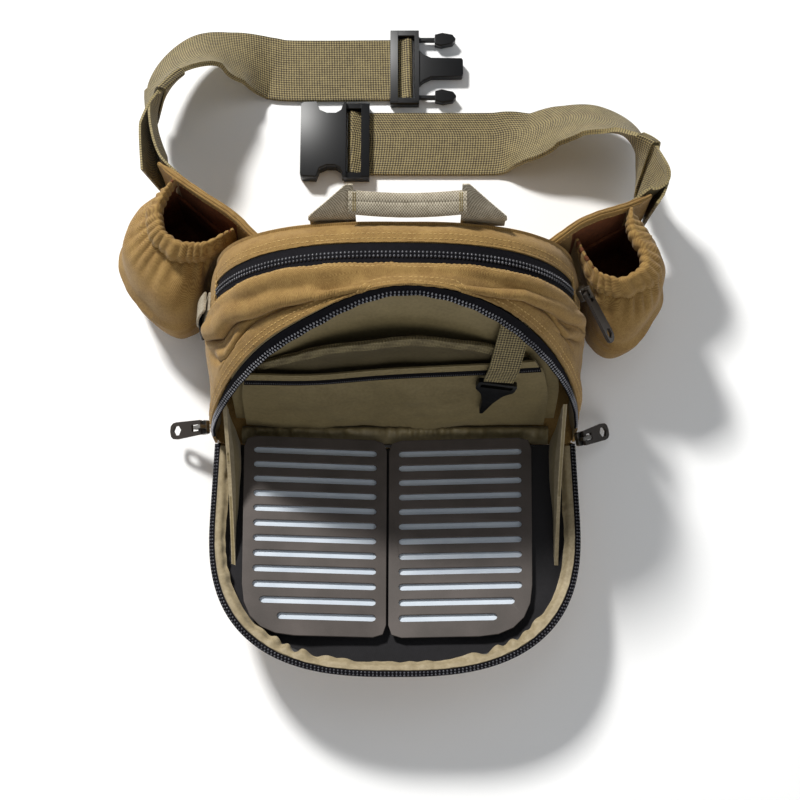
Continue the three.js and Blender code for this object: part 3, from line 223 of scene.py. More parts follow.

# %% [markdown]
# ### Hard finishes
# Buckles and hooks are black acetal, the fly panels a warm grey moulded plastic over white foam. The
# zips' coils are nylon wire, drawn paler than black as painted highlight, the sliders darkened zinc. A
# noise at the grain's own size gives each its bump. A crown, where one is given, bends the shading as the
# slight swell of a moulded face does: it is too low to show in the outline, so it needs no mesh of its own.

# %% Grained materials
def grained(name, light, deep, grain_mm, roughness, depth_mm, patch_mm=30, crown_mm=0, **shader_values):
    material, tree, shader = new_material(name, roughness, **shader_values)
    place = add_node(tree, "ShaderNodeTexCoord")
    grain = add_node(tree, "ShaderNodeTexNoise", {"Scale": 1 / (grain_mm * MM), "Detail": 3.0},
                     {"Vector": place.outputs["Object"]})
    patches = add_node(tree, "ShaderNodeTexNoise", {"Scale": 1 / (patch_mm * MM), "Detail": 5.0},
                       {"Vector": place.outputs["Object"]})
    shade = add_node(tree, "ShaderNodeMath", {1: 0.3}, {0: grain.outputs["Fac"], 2: patches.outputs["Fac"]},
                     operation="MULTIPLY_ADD")
    ramp = add_node(tree, "ShaderNodeValToRGB", {}, {"Fac": shade.outputs[0]})
    ramp.color_ramp.elements[0].position = 0.4
    ramp.color_ramp.elements[0].color = linear(deep)
    ramp.color_ramp.elements[1].position = 0.9
    ramp.color_ramp.elements[1].color = linear(light)
    off_centre = add_node(tree, "ShaderNodeVectorMath", {1: (0.5, 0.5, 0.5)},
                          {0: place.outputs["Generated"]}, operation="SUBTRACT")
    fall = add_node(tree, "ShaderNodeVectorMath", {}, {0: off_centre.outputs[0], 1: off_centre.outputs[0]},
                    operation="DOT_PRODUCT")
    crown = add_node(tree, "ShaderNodeBump", {"Distance": crown_mm * MM, "Strength": 1.0},
                     {"Height": fall.outputs["Value"]}, invert=True)
    bump = add_node(tree, "ShaderNodeBump", {"Distance": depth_mm * MM, "Strength": 0.6},
                    {"Height": grain.outputs["Fac"], "Normal": crown.outputs["Normal"]})
    tree.links.new(ramp.outputs["Color"], shader.inputs["Base Color"])
    tree.links.new(bump.outputs["Normal"], shader.inputs["Normal"])
    return material


# Acetal: black, with a soft broad shine over its crown and a fine spark-eroded grain.
acetal = grained("moulded_black_acetal", "0f0f11", "060608", 0.6, 0.4, 0.012, crown_mm=11, IOR=1.48,
                 Specular_IOR_Level=0.4)
# Moulded panel: warm grey, with a texture that spreads the highlight.
panel_plastic = grained("warm_grey_moulded_panel", "5a524e", "453f3b", 0.7, 0.58, 0.05, IOR=1.49,
                        Specular_IOR_Level=0.35)
# Closed-cell foam: white, chalky and slightly blue in the shade.
foam = grained("white_closed_cell_foam", "dbe3ec", "c6d0dc", 0.9, 0.85, 0.15, patch_mm=24)
# Nylon wire: black, drawn grey as a painted highlight, because each loop's glint is finer than a pixel.
coil_grey_painted_glint = grained("nylon_coil_grey_painted_glint", "55555b", "232328", 0.5, 0.3, 0.02, IOR=1.53)
# The same wire on the opened zip, drawn paler still: a painted highlight on loops that lie in shade.
coil_pale_painted_glint = grained("nylon_coil_pale_painted_glint", "a8a8ae", "4c4c52", 0.5, 0.3, 0.02, IOR=1.53)
# Moulded rubber: dull and brown, with only a soft shine on its edges.
pull_rubber = grained("brown_moulded_rubber", "352e29", "241f1b", 0.6, 0.5, 0.05, IOR=1.52,
                      Specular_IOR_Level=0.35)
# Darkened zinc: a worn metal, brighter in patches where the finish is rubbed.
zinc = grained("darkened_zinc", "8d8a86", "56534f", 0.8, 0.36, 0.03, patch_mm=6, Metallic=1.0)
# Waxed thread: a pale dash on the canvas.
thread = grained("waxed_tan_thread", "c9a768", "93703a", 0.5, 0.7, 0.05, patch_mm=5)
# Lining thread: close to the cloth's own colour, so that it stays quiet.
khaki_thread = grained("khaki_thread", "a08f62", "6f6140", 0.5, 0.7, 0.05, patch_mm=5)
print("materials so far", len(bpy.data.materials))

# %% [markdown]
# ### The floor
# The pack stands on something plain and pale. A sheet of matt paper, far larger than the camera's view,
# takes the shadow. It lies a hair below the pack, so that two surfaces never share a plane.

# %% Floor
floor_white = grained("matt_white_paper", "ffffff", "fbfbfb", 2.0, 0.9, 0.02, patch_mm=200)
floor_mesh = bpy.data.meshes.new("floor")
FLOOR_REACH, FLOOR_DROP = 6.0, 0.0003
floor_mesh.from_pydata([(-FLOOR_REACH, -FLOOR_REACH, 0), (FLOOR_REACH, -FLOOR_REACH, 0),
                        (FLOOR_REACH, FLOOR_REACH, 0), (-FLOOR_REACH, FLOOR_REACH, 0)], [], [(0, 1, 2, 3)])
floor_mesh.materials.append(floor_white)
floor = bpy.data.objects.new("floor", floor_mesh)
floor.location.z = -FLOOR_DROP
bpy.context.scene.collection.objects.link(floor)
print("floor", FLOOR_REACH * 2, "m square")

# %% [markdown]
# ## Cloth walls
# A piece of cloth is a grid of points on its middle surface. Thickening the grid both ways and closing
# its edges gives a real wall, whose face and wrong side can have different cloths. The grid also carries
# the cloth's own flat measure in metres as UVs, so that a weave runs along the strip and not along the
# room. Sculpting could give such forms as well, but could not be read or repeated.

# %% Grid measures
Cloth = namedtuple("Cloth", "piece grid normals thickness")


def lerp(start, end, share):
    return start + (end - start) * share


def ridge(value, centre, width):
    """A smooth hump that is one at its centre and fades over the width."""
    return np.exp(-((value - centre) / width) ** 2)


def normals_of(grid, ringed=False):
    ahead = np.roll(grid, -1, 0) - np.roll(grid, 1, 0) if ringed else np.gradient(grid, axis=0)
    normals = np.cross(ahead, np.gradient(grid, axis=1))
    return normals / np.maximum(np.linalg.norm(normals, axis=2, keepdims=True), 1e-9)


def lengths_along(points):
    steps = np.linalg.norm(np.diff(points, axis=0), axis=-1)
    return np.concatenate([np.zeros((1, *steps.shape[1:])), np.cumsum(steps, axis=0)])


def mean_length(grid):
    return float(lengths_along(grid)[-1].mean())


print("a ridge falls to", round(float(ridge(1.0, 0.0, 1.0)), 2), "one width from its middle")

# %% [markdown]
# ### Faces of a wall
# The faces come in three lots: the cloth's face, its wrong side, and the strips that close its edges. A
# wall can be an open sheet, a ring, or a dish whose last column closes over its middle. A solidify
# modifier would thicken a sheet too, but would leave less say over which cloth each side wears.

# %% Faces of a wall
def wall_faces(rows, columns, ringed, dish):
    """Faces of the upper layer, of the lower layer, and of the closing strips."""
    spans = rows if ringed else rows - 1
    i, j = np.meshgrid(np.arange(spans), np.arange(columns - 1), indexing="ij")
    after = (i + 1) % rows
    top = np.stack([i * columns + j, after * columns + j, after * columns + j + 1, i * columns + j + 1], -1)
    top = top.reshape(-1, 4)
    layer = rows * columns
    under = top[:, ::-1] + layer
    edges = []
    for column, turned in ((0, True), (columns - 1, False))[:1 if dish else 2]:
        start = np.arange(spans) * columns + column
        end = ((np.arange(spans) + 1) % rows) * columns + column
        edge = np.stack([start, end, end + layer, start + layer], -1)
        edges.append(edge[:, ::-1] if turned else edge)
    if not ringed:
        for row, turned in ((0, False), (rows - 1, True)):
            start = row * columns + np.arange(columns - 1)
            edge = np.stack([start, start + 1, start + 1 + layer, start + layer], -1)
            edges.append(edge[:, ::-1] if turned else edge)
    middle = np.arange(rows) * columns + columns - 1
    caps = [middle.tolist(), (middle[::-1] + layer).tolist()] if dish else []
    return top.tolist(), under.tolist(), np.concatenate(edges).tolist() + caps


print("a wall on 3 by 3 points has", sum(map(len, wall_faces(3, 3, False, False))), "faces")

# %% [markdown]
# ### Building a wall
# Each piece is shaded smooth with its sharp edges kept. It rides a body, has a slot of colour and hides
# the solid it stands in for.

# %% Build a wall
SHARP_ANGLE = math.radians(48)


def finish_piece(name, mesh, node):
    mesh.polygons.foreach_set("use_smooth", np.ones(len(mesh.polygons), bool))
    mesh.set_sharp_from_angle(angle=SHARP_ANGLE)
    piece = bpy.data.objects.new(name, mesh)
    bpy.context.scene.collection.objects.link(piece)
    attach(piece, BODY)
    if node:
        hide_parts(node)
    return piece


def cloth_wall(name, grid, thickness, cloths, node, ringed=False, dish=False):
    """Closed wall on a grid in mm. Its cloths are those of its face, its wrong side and its hems."""
    normals = normals_of(grid, ringed)
    half = np.asarray(thickness, float) / 2
    half = half[..., None] if half.ndim else half
    points = np.concatenate([(grid + normals * half).reshape(-1, 3), (grid - normals * half).reshape(-1, 3)])
    top, under, edges = wall_faces(grid.shape[0], grid.shape[1], ringed, dish)
    mesh = bpy.data.meshes.new(name)
    mesh.from_pydata((points * MM).tolist(), [], top + under + edges)
    for cloth in cloths:
        mesh.materials.append(cloth)
    hems = (len(grid) - (0 if ringed else 1)) * (1 if dish else 2)
    order = [0, min(1, len(cloths) - 1), 2 if len(cloths) > 2 else 0, 0]
    mesh.polygons.foreach_set("material_index",
                              np.repeat(order, [len(top), len(under), hems, len(edges) - hems]))
    along = lengths_along(grid)
    across = lengths_along(grid.transpose(1, 0, 2)).T
    flat = np.stack([along - along[-1:] / 2, across - across[:, -1:] / 2], -1).reshape(-1, 2) * MM
    corners = np.zeros(len(mesh.loops), np.int32)
    mesh.loops.foreach_get("vertex_index", corners)
    uv = mesh.uv_layers.new(name="cloth")
    uv.data.foreach_set("uv", np.concatenate([flat, flat])[corners].ravel().astype(np.float32))
    piece = finish_piece(name, mesh, node)
    return Cloth(piece, grid, normals, float(np.max(thickness)))


def declare_sheet(cloth):
    across = mean_length(cloth.grid.transpose(1, 0, 2)) * MM


print("edges sharper than", round(math.degrees(SHARP_ANGLE)), "degrees stay sharp")

# %% [markdown]
# ## Crumples
# Cloth is never smooth. A soft noise, looked up at each point of the grid, pushes the cloth in and out
# along its normal: long waves for the slack of a panel, short ones for the creases that wax holds.

# %% Crumple helper
def crumple(grid, size_mm, seed):
    """Soft noise at each point of a grid, with humps of about the given size."""
    flat = grid.reshape(-1, 3) / size_mm + np.array([seed * 17.3, seed * 5.1, seed * 9.7])
    return np.array([noise.noise(point) for point in flat.tolist()]).reshape(grid.shape[:2])


def pushed(grid, distance, ringed=False):
    """The grid moved along its own normals by a distance in mm."""
    return grid + normals_of(grid, ringed) * distance[..., None]


print("the noise at one point is always", round(float(crumple(np.ones((1, 1, 3)), 3.0, 1)[0, 0]), 4))

# %% [markdown]
# ## Smooth lines
# Belts, pocket mouths and tabs follow smooth curves through a few set points. The curve is a centripetal
# spline, which makes no loops where points lie close together. A curve object would draw the same line,
# but the grids need it as points.

# %% Curves through points
def curve_through(points, samples):
    """Smooth line through the points, cut into the given number of steps."""
    points = np.asarray(points, float)
    padded = np.vstack([2 * points[0] - points[1], points, 2 * points[-1] - points[-2]])
    last = len(points) - 1
    line = []
    for step in np.linspace(0, last, samples + 1):
        index = min(int(step), last - 1)
        share = step - index
        before, start, end, after = padded[index:index + 4]
        gaps = [max(np.linalg.norm(b - a) ** 0.5, 1e-4)
                for a, b in ((before, start), (start, end), (end, after))]
        leave = ((start - before) / gaps[0] - (end - before) / (gaps[0] + gaps[1])
                 + (end - start) / gaps[1]) * gaps[1]
        arrive = ((end - start) / gaps[1] - (after - start) / (gaps[1] + gaps[2])
                  + (after - end) / gaps[2]) * gaps[1]
        square, cube = share ** 2, share ** 3
        line.append(start * (2 * cube - 3 * square + 1) + leave * (cube - 2 * square + share)
                    + end * (3 * square - 2 * cube) + arrive * (cube - square))
    return np.array(line)


def points_along(line, shares):
    lengths = lengths_along(line)
    at = np.asarray(shares) * lengths[-1]
    return np.stack([np.interp(at, lengths, line[:, axis]) for axis in range(3)], -1)


corner = curve_through([(0, 0, 0), (10, 0, 0), (10, 10, 0)], 20)
print("a curve round a 10 mm corner is", round(mean_length(corner), 1), "mm long")

# %% [markdown]
# ## Stitches and zip teeth
# A stitch is a short bead of thread pressed into the cloth, and a zip's tooth is a bead of nylon wire at
# the tape's edge. Both are one small rounded bead, copied along a line and joined into a single mesh.
# Separate objects for thousands of stitches would slow every later step.

# %% Beads
def bead_template(sides, rings):
    """Closed bead of triangles that reaches one unit each way."""
    tilt = np.linspace(0, math.pi, rings + 2)[1:-1]
    turn = np.linspace(0, 2 * math.pi, sides, endpoint=False)
    ring = [[math.cos(t), math.sin(t) * math.cos(a), math.sin(t) * math.sin(a)] for t in tilt for a in turn]
    points = np.array([[1, 0, 0], *ring, [-1, 0, 0]], float)
    end = len(points) - 1
    faces = [(0, 1 + k, 1 + (k + 1) % sides) for k in range(sides)]
    for r in range(rings - 1):
        low, high = 1 + r * sides, 1 + (r + 1) * sides
        for k in range(sides):
            k2 = (k + 1) % sides
            faces += [(low + k, high + k, high + k2), (low + k, high + k2, low + k2)]
    low = 1 + (rings - 1) * sides
    faces += [(end, low + (k + 1) % sides, low + k) for k in range(sides)]
    return points, np.array(faces)


STITCH_BEAD = bead_template(6, 3)
TOOTH_BEAD = bead_template(8, 3)


def beads(name, template, places, material):
    shape, shape_faces = template
    points = np.concatenate([origin + shape @ axes for origin, axes in places])
    count = len(shape)
    faces = np.concatenate([shape_faces + count * index for index in range(len(places))])
    mesh = bpy.data.meshes.new(name)
    mesh.from_pydata((points * MM).tolist(), [], faces.tolist())
    mesh.materials.append(material)
    piece = finish_piece(name, mesh, None)
    print(name, len(places), "beads,", len(faces), "triangles")
    return piece


print("a stitch has", len(STITCH_BEAD[1]), "triangles, a tooth", len(TOOTH_BEAD[1]))

# %% [markdown]
# ### Lines along a seam
# A seam is a line at a set distance from one edge of a cloth. It is found on the cloth's own grid, so
# that stitches and teeth stay on the cloth through every fold. A straight line laid over it would leave
# the folds.

# %% Lines along a seam
Line = namedtuple("Line", "points ways normals")


def unit(vectors):
    return vectors / np.maximum(np.linalg.norm(vectors, axis=-1, keepdims=True), 1e-9)


def spaced(points, normals, pitch):
    """Evenly spaced places on a line, with its direction and normal at each."""
    lengths = lengths_along(points)
    count = max(2, int(lengths[-1] / pitch))
    at = (np.arange(count) + 0.5) / count * lengths[-1]

    def pick(values):
        return np.stack([np.interp(at, lengths, values[:, axis]) for axis in range(3)], -1)

    ways = unit(np.gradient(points, axis=0))
    return Line(pick(points), unit(pick(ways)), unit(pick(normals)))


def seam(cloth, from_edge, pitch, far=False, inside=False, rows=slice(None)):
    """A line at a distance in mm from a cloth's first edge, or its far one, on its face or its inside."""
    grid = cloth.grid[rows]
    normals = cloth.normals[rows] * (-1 if inside else 1)
    if far:
        grid, normals = grid[:, ::-1], normals[:, ::-1]
    reach = lengths_along(grid.transpose(1, 0, 2))
    columns = np.arange(grid.shape[1])
    at = np.array([np.interp(from_edge, reach[:, row], columns) for row in range(grid.shape[0])])
    low = np.clip(at.astype(int), 0, grid.shape[1] - 2)
    part = (at - low)[:, None]
    row = np.arange(grid.shape[0])
    points = lerp(grid[row, low], grid[row, low + 1], part)
    up = unit(lerp(normals[row, low], normals[row, low + 1], part))
    return spaced(points + up * (cloth.thickness / 2), up, pitch)


def cross_seam(cloth, from_edge, pitch, far=False, inside=False, columns=slice(None)):
    """A line across a cloth, at a distance in mm from its first row or its last."""
    turned = Cloth(cloth.piece, cloth.grid.transpose(1, 0, 2), cloth.normals.transpose(1, 0, 2),
                   cloth.thickness)
    return seam(turned, from_edge, pitch, far, inside, columns)


STITCH = {"pitch": 3.3, "half": (1.25, 0.42, 0.32)}


def stitch_places(line, sizes=STITCH["half"], lift=0.05):
    sides = np.cross(line.normals, line.ways)
    axes = np.stack([line.ways * sizes[0], sides * sizes[1], line.normals * sizes[2]], 1)
    return list(zip(line.points + line.normals * lift, axes))


print("stitches", STITCH["pitch"], "mm apart")

# %% [markdown]
# ## The body's rails
# The pack's top is a stack of arches from its left foot to its right: the back seam, a rounded roll, the
# two edges of the main zip, an upper tier, a sagging crease, a lower tier and the edge of the front
# opening. Each arch is a superellipse that leans back with height, and the open front slumps on its left
# shoulder. Bands of cloth are then stretched over neighbouring rails, so that two cloths share their seam
# exactly.

# %% Rails
Rail = namedtuple("Rail", "crown_y foot_y half height square straight")
RAILS = {
    "back_seam": Rail(53, 53, 126, 160, 2.7, 40),
    "rear_roll": Rail(46, 38, 129, 167, 2.7, 40),
    "zip_rear": Rail(38, 24, 129, 169, 2.65, 40),
    "zip_front": Rail(22.5, 11, 130, 172, 2.6, 40),
    "upper_tier": Rail(17.5, -10, 131.5, 177, 2.5, 38),
    "crease": Rail(13, -36, 129.5, 179, 2.2, 36),
    "lower_tier": Rail(10, -48, 131.5, 181, 2.05, 28),
    "arch_edge": Rail(5.5, -56.5, 131, 183, 1.95, 20),
    "arch_teeth": Rail(6, -60, 129.5, 175, 1.8, 16),
}
FOOT = 3.4
APEX_SHIFT = 7
LEFT_SLUMP = 13
SHOULDER_DROOP = 5.5
SLUMPING = {"crease", "lower_tier", "arch_edge", "arch_teeth"}
RAIL_STEPS = 240


def rail_line(name):
    """One arch from its left foot to its right."""
    rail = RAILS[name]
    angle = np.linspace(0, math.pi, RAIL_STEPS + 1)
    power = 2 / rail.square
    side = -np.cos(angle)
    x = rail.half * np.sign(side) * np.abs(side) ** power
    z = rail.straight + (rail.height - rail.straight) * np.sin(angle).clip(0) ** power
    x = np.concatenate([[-rail.half], x, [rail.half]])
    z = np.concatenate([[FOOT], z, [FOOT]])
    rise = z / rail.height
    y = lerp(rail.foot_y, rail.crown_y, rise ** 1.1)
    if name in SLUMPING:
        y = y - LEFT_SLUMP * np.maximum(0, -x / rail.half) * np.sin(math.pi * np.minimum(rise, 1))
        y = y - SHOULDER_DROOP * ridge(x, -60, 34)
        x = x + APEX_SHIFT * rise ** 4
    return np.stack([x, y, z], -1)


def across_rails(lines, columns):
    """Grid whose rows cross the given lines on a smooth curve."""
    lines = np.asarray(lines)
    last = len(lines) - 1
    padded = np.concatenate([[2 * lines[0] - lines[1]], lines, [2 * lines[-1] - lines[-2]]])
    out = []
    for step in np.linspace(0, last, columns):
        i = min(int(step), last - 1)
        t = step - i
        p0, p1, p2, p3 = padded[i:i + 4]
        out.append(0.5 * (2 * p1 + (p2 - p0) * t + (2 * p0 - 5 * p1 + 4 * p2 - p3) * t ** 2
                          + (3 * p1 - p0 - 3 * p2 + p3) * t ** 3))
    return np.stack(out, 1)


def band(names, shares, columns, trim=(0.2, 0.2)):
    """A band through several rails. Its rows run from right to left, so that its face is outside."""
    lines = [points_along(rail_line(name), shares[::-1]) for name in names]
    ends = ((0, 1, trim[0]), (-1, -2, trim[1]))
    first, last = [unit(lines[b] - lines[a]) * amount for a, b, amount in ends]
    return across_rails([lines[0] + first, *lines[1:-1], lines[-1] + last], columns)


print(len(RAILS), "rails, the front opening", 2 * RAILS["arch_edge"].half, "mm wide")

# %% [markdown]
# ## The front gusset
# The soft band between the main zip and the front opening is what makes the pack look used: it sags into
# a deep crease on each shoulder, puckers at its stitched edges and folds near its feet. Simulating it
# would lose the photo's own crease, so the folds are set as ridges and valleys over the grid.

# %% Front gusset
CANVAS = 2.0
GUSSET_ROWS = 300
GUSSET_COLUMNS = 96
CREASE_OVERHANG = 2.6
CREASE_PATH = ((0.1, 0.1), (0.147, 0.19), (0.224, 0.347), (0.281, 0.411), (0.334, 0.495), (0.385, 0.8),
               (0.415, 0.92), (0.545, 0.92), (0.575, 0.78), (0.609, 0.53), (0.65, 0.475), (0.7, 0.43),
               (0.78, 0.38), (0.93, 0.12))
BRANCHES = ((0.25, -2.6), (0.2, 2.0), (0.74, 2.6), (0.8, -2.0))


def shares_down(grid):
    rows, columns = grid.shape[:2]
    return np.meshgrid(np.linspace(0, 1, rows), np.linspace(0, 1, columns), indexing="ij")


def window(value, start, end, soft):
    """One between start and end, with soft flanks."""
    return np.clip((value - start) / soft, 0, 1) * np.clip((end - value) / soft, 0, 1)


def front_gusset_grid():
    grid = band(["zip_front", "upper_tier", "crease", "lower_tier", "arch_edge"],
                np.linspace(0, 1, GUSSET_ROWS), GUSSET_COLUMNS)
    over, down = shares_down(grid)
    shoulders = ridge(over, 0.31, 0.11) + ridge(over, 0.69, 0.11)
    feet = ridge(over, 0.06, 0.07) + ridge(over, 0.94, 0.07)
    crease = np.interp(over, *zip(*CREASE_PATH)) + 0.012 * np.sin(over * 47 + 1) + 0.008 * np.sin(over * 83)
    creased = window(over, 0.16, 0.43, 0.06) + window(over, 0.53, 0.87, 0.06)
    # The crease: a lip above it, a sharp valley, and a softer hollow below.
    push = 4.6 * ridge(down, crease - 0.055, 0.05) - 8.0 * ridge(down, crease + 0.004, 0.017)
    push = creased * (push - 2.6 * ridge(down, crease + 0.06, 0.05))
    # Short folds branch off below it, where the cloth bunches.
    for centre, leaning in BRANCHES:
        branch = crease + 0.16 + leaning * (over - centre)
        push -= 3.2 * ridge(over, centre, 0.035) * ridge(down, branch, 0.03)
        push += 1.8 * ridge(over, centre, 0.035) * ridge(down, branch - 0.07, 0.04)
    # The upper tier rolls out at the shoulders, and crumples of three sizes lie over everything.
    push += (1.2 + 3.0 * shoulders) * ridge(down, 0.2, 0.13)
    push += ((0.8 + 2.0 * feet) * crumple(grid, 34, 1) + 0.7 * crumple(grid, 15, 2)
             + 0.3 * crumple(grid, 6, 3))
    # Sewing draws both seams into fine puckers, and the seams themselves stay where they are.
    pucker = ridge(down, 0.0, 0.12) + ridge(down, 1.0, 0.12)
    push += 0.22 * pucker * np.sin(over * 2 * math.pi * 62)
    pinned = np.clip(np.minimum(down, 1 - down) / 0.06, 0, 1)
    overhang = CREASE_OVERHANG * creased * ridge(down, crease - 0.03, 0.035)
    forwards = unit(np.gradient(grid, axis=1))
    return pushed(grid, push * pinned) + forwards * overhang[..., None]


front_gusset = cloth_wall("front_gusset_cloth", front_gusset_grid(), CANVAS, [canvas, lining],
                          "front_gusset")
declare_sheet(front_gusset)

# %% [markdown]
# ## The rear gusset and the main zip
# Behind the zip runs a rounded band with two rows of stitching, which turns down the sides and closes
# them below the zip's ends. It is one strip in three runs, because it is wider below those ends. A plain
# strip with a hole cut into it would leave a ragged edge there.

# %% Rear gusset
ZIP_FROM = 0.21
ZIP_NOTCH = 0.002
TAPE = 1.4


def rear_gusset_grid():
    low = np.linspace(0, ZIP_FROM - ZIP_NOTCH, 44)
    high = np.linspace(ZIP_FROM, 1 - ZIP_FROM, 150)
    below = ["back_seam", "rear_roll", "zip_front"]
    above = ["back_seam", "rear_roll", "zip_rear"]
    grid = np.concatenate([band(below, 1 - low[::-1], 26), band(above, high, 26), band(below, low, 26)])
    over, down = shares_down(grid)
    push = 0.8 * crumple(grid, 30, 4) + 0.3 * crumple(grid, 11, 5) + 0.12 * crumple(grid, 5, 6)
    push += 0.2 * (ridge(down, 0, 0.2) + ridge(down, 1, 0.2)) * np.sin(over * 2 * math.pi * 60)
    pinned = np.clip(np.minimum(down, 1 - down) / 0.08, 0, 1)
    return pushed(grid, push * pinned)


rear_gusset = cloth_wall("rear_gusset_cloth", rear_gusset_grid(), CANVAS, [canvas, lining], "rear_gusset")
declare_sheet(rear_gusset)

# %% [markdown]
# ### The main zip's tape
# The tape lies between the two gussets. It swells where the closed coil runs and sinks at its seam, so it
# is one more band between two rails, with two ridges pushed into it.

# %% Main zip tape
ZIP_INSET = 0.006
ZIP_CHAIN = 0.56


def main_zip_grid():
    shares = np.linspace(ZIP_FROM + ZIP_INSET, 1 - ZIP_FROM - ZIP_INSET, 180)
    grid = band(["zip_rear", "zip_front"], shares, 17, trim=(0.4, 0.4))
    down = shares_down(grid)[1]
    return pushed(grid, 0.9 * ridge(down, ZIP_CHAIN, 0.16) - 0.5 * ridge(down, 0.05, 0.1))


main_zip = cloth_wall("main_zip_tape_cloth", main_zip_grid(), TAPE, [zip_tape], "main_zip_tape")
declare_sheet(main_zip)

# %% [markdown]
# ## The arch zip
# The opened zip's upper half edges the front opening, with its coil at the tape's free edge. The tape is
# a narrow band that curls forward and ripples where it is sewn. It is modelled and not drawn, because its
# shadow on the pockets shows how far it stands out.

# %% Arch zip tape
ARCH_FROM = 0.05
ARCH_SEAM = 1.5
ARCH_CURL = 4.6


def arch_zip_grid():
    grid = band(["arch_edge", "arch_teeth"], np.linspace(ARCH_FROM, 1 - ARCH_FROM, 200), 11,
                trim=(ARCH_SEAM, ARCH_SEAM / 2))
    over, down = shares_down(grid)
    forward = ARCH_CURL * down * np.clip(np.sin(math.pi * over) * 1.6, 0, 1)
    ripple = 0.3 * np.sin(over * 2 * math.pi * 23) + 0.4 * crumple(grid, 22, 7)
    return pushed(grid, forward + ripple * down)


arch_zip = cloth_wall("arch_zip_tape_cloth", arch_zip_grid(), TAPE, [zip_tape], "arch_zip_tape")
print("arch zip", round(mean_length(arch_zip.grid)), "mm long")

# %% [markdown]
# ## Inside the front
# A lined divider leans back behind the opening. On it sit a slip pocket with a ribbed elastic top and, in
# front of that, a zipped pocket. All three are khaki coated nylon, slack enough to hang in soft waves.
# They are the same leaning sheet, cut lower and set further forward each time, so one function makes them
# all.

# %% Divider sheet
Divider = namedtuple("Divider", "foot_y lean half height square straight")
DIVIDER = Divider(-38, 0.28, 117, 164, 2.1, 30)
LINING = 1.4
BAND_LOW, BAND_HIGH, BAND_SLOPE, BAND_SAG = 79, 91, 8, 4
SLIP_CROWN, SLIP_SIDES, SLIP_SLOPE = 129, 88, 6
PANEL_SHARE = 0.93
PANEL_WIDEST = 100


def divider_half(z):
    rise = np.clip((z - DIVIDER.straight) / (DIVIDER.height - DIVIDER.straight), 0, 1)
    return DIVIDER.half * (1 - rise ** DIVIDER.square) ** (1 / DIVIDER.square)


def divider_grid(lower, upper, offset, bulge, half_share=1.0, steps=(90, 40), widest=PANEL_WIDEST):
    """Leaning sheet between two heights, set forward by an offset and swelled by a bulge."""
    side, up = np.meshgrid(np.linspace(-1, 1, steps[0]), np.linspace(0, 1, steps[1]), indexing="ij")
    z = lerp(lower(side), upper(side), up)
    belly = bulge * (1 - side ** 4) * np.sin(math.pi * lerp(0.12, 0.75, up))
    x = side * half_share * divider_half(np.minimum(z, widest))
    y = DIVIDER.foot_y + DIVIDER.lean * z - offset - belly
    return np.stack([x, y, z], -1)


def level(height):
    return lambda side: height + 0 * side


def sloped(height):
    return lambda side: height + BAND_SLOPE * side - BAND_SAG * ridge(side, -0.55, 0.35)


def slip_top(side):
    return lerp(SLIP_CROWN, SLIP_SIDES, side ** 2) + SLIP_SLOPE * side


def slack(grid, size, amount, seed):
    loose = np.sin(math.pi * shares_down(grid)[0]) ** 0.5
    waves = crumple(grid, size, seed) + 0.35 * crumple(grid, size / 3, seed + 1)
    return pushed(grid, amount * loose * waves)


print("divider", 2 * DIVIDER.half, "by", DIVIDER.height, "mm")

# %% [markdown]
# ### Divider and pocket cloths
# The slip pocket's mouth is held forward, as by a hand that has just been in it. The zipped pocket has
# the most slack, and its band and its zip lie flat above it. Each gets its own seed, so that no two folds
# match.

# %% Divider and pocket cloths
SLIP_MOUTH = 8
POCKET_TAPE = 1.0
PANEL_OUT = 10.2
back_wall = divider_grid(level(FOOT), level(DIVIDER.height - 2), 0, 0, widest=200)
divider = cloth_wall("divider_cloth", slack(back_wall, 60, 1.2, 8), LINING, [lining], "divider")
slip = divider_grid(level(FOOT), slip_top, 2, 3, 0.86)
slip_across, slip_up = shares_down(slip)
slip_mouth = SLIP_MOUTH * ridge(slip_up, 1.0, 0.16) * np.sin(math.pi * slip_across)
# The slip pocket's darker nylon is painted shade for its recess.
slip_pocket = cloth_wall("slip_pocket_cloth", slack(pushed(slip, slip_mouth), 42, 2.4, 10), LINING,
                         [slip_lining_painted_shade], "slip_pocket")
band_strip = divider_grid(sloped(BAND_LOW + 5), sloped(BAND_HIGH), PANEL_OUT, 1, PANEL_SHARE, (90, 9))
pocket_band = cloth_wall("pocket_band_cloth", band_strip, LINING, [lining], "pocket_band")
zip_strip = divider_grid(sloped(BAND_LOW - 1.5), sloped(BAND_LOW + 4.6), PANEL_OUT, 1, PANEL_SHARE, (90, 7))
pocket_zip = cloth_wall("pocket_zip_tape", zip_strip, POCKET_TAPE, [zip_tape], "pocket_zip")
front_wall = divider_grid(level(FOOT + 4), sloped(BAND_LOW - 2), 7, 4, PANEL_SHARE)
zip_pocket = cloth_wall("zip_pocket_cloth", slack(front_wall, 38, 3.4, 12), LINING, [lining], "zip_pocket")
for cloth in (divider, slip_pocket, zip_pocket):
    declare_sheet(cloth)

# %% [markdown]
# ### The elastic mouth
# The slip pocket's mouth is a band of flat elastic, whose ribs run up and down. It is a narrow strip laid
# along the pocket's top edge, on the same points. The ribs are in its shape, because a bump would not
# show on an edge seen from above.

# %% Elastic mouth
ELASTIC_HIGH, ELASTIC_THICK, ELASTIC_LIFT, ELASTIC_ROWS = 9.5, 2.6, 0.5, 640
RIB_PITCH, RIB_DEPTH = 2.2, 0.25


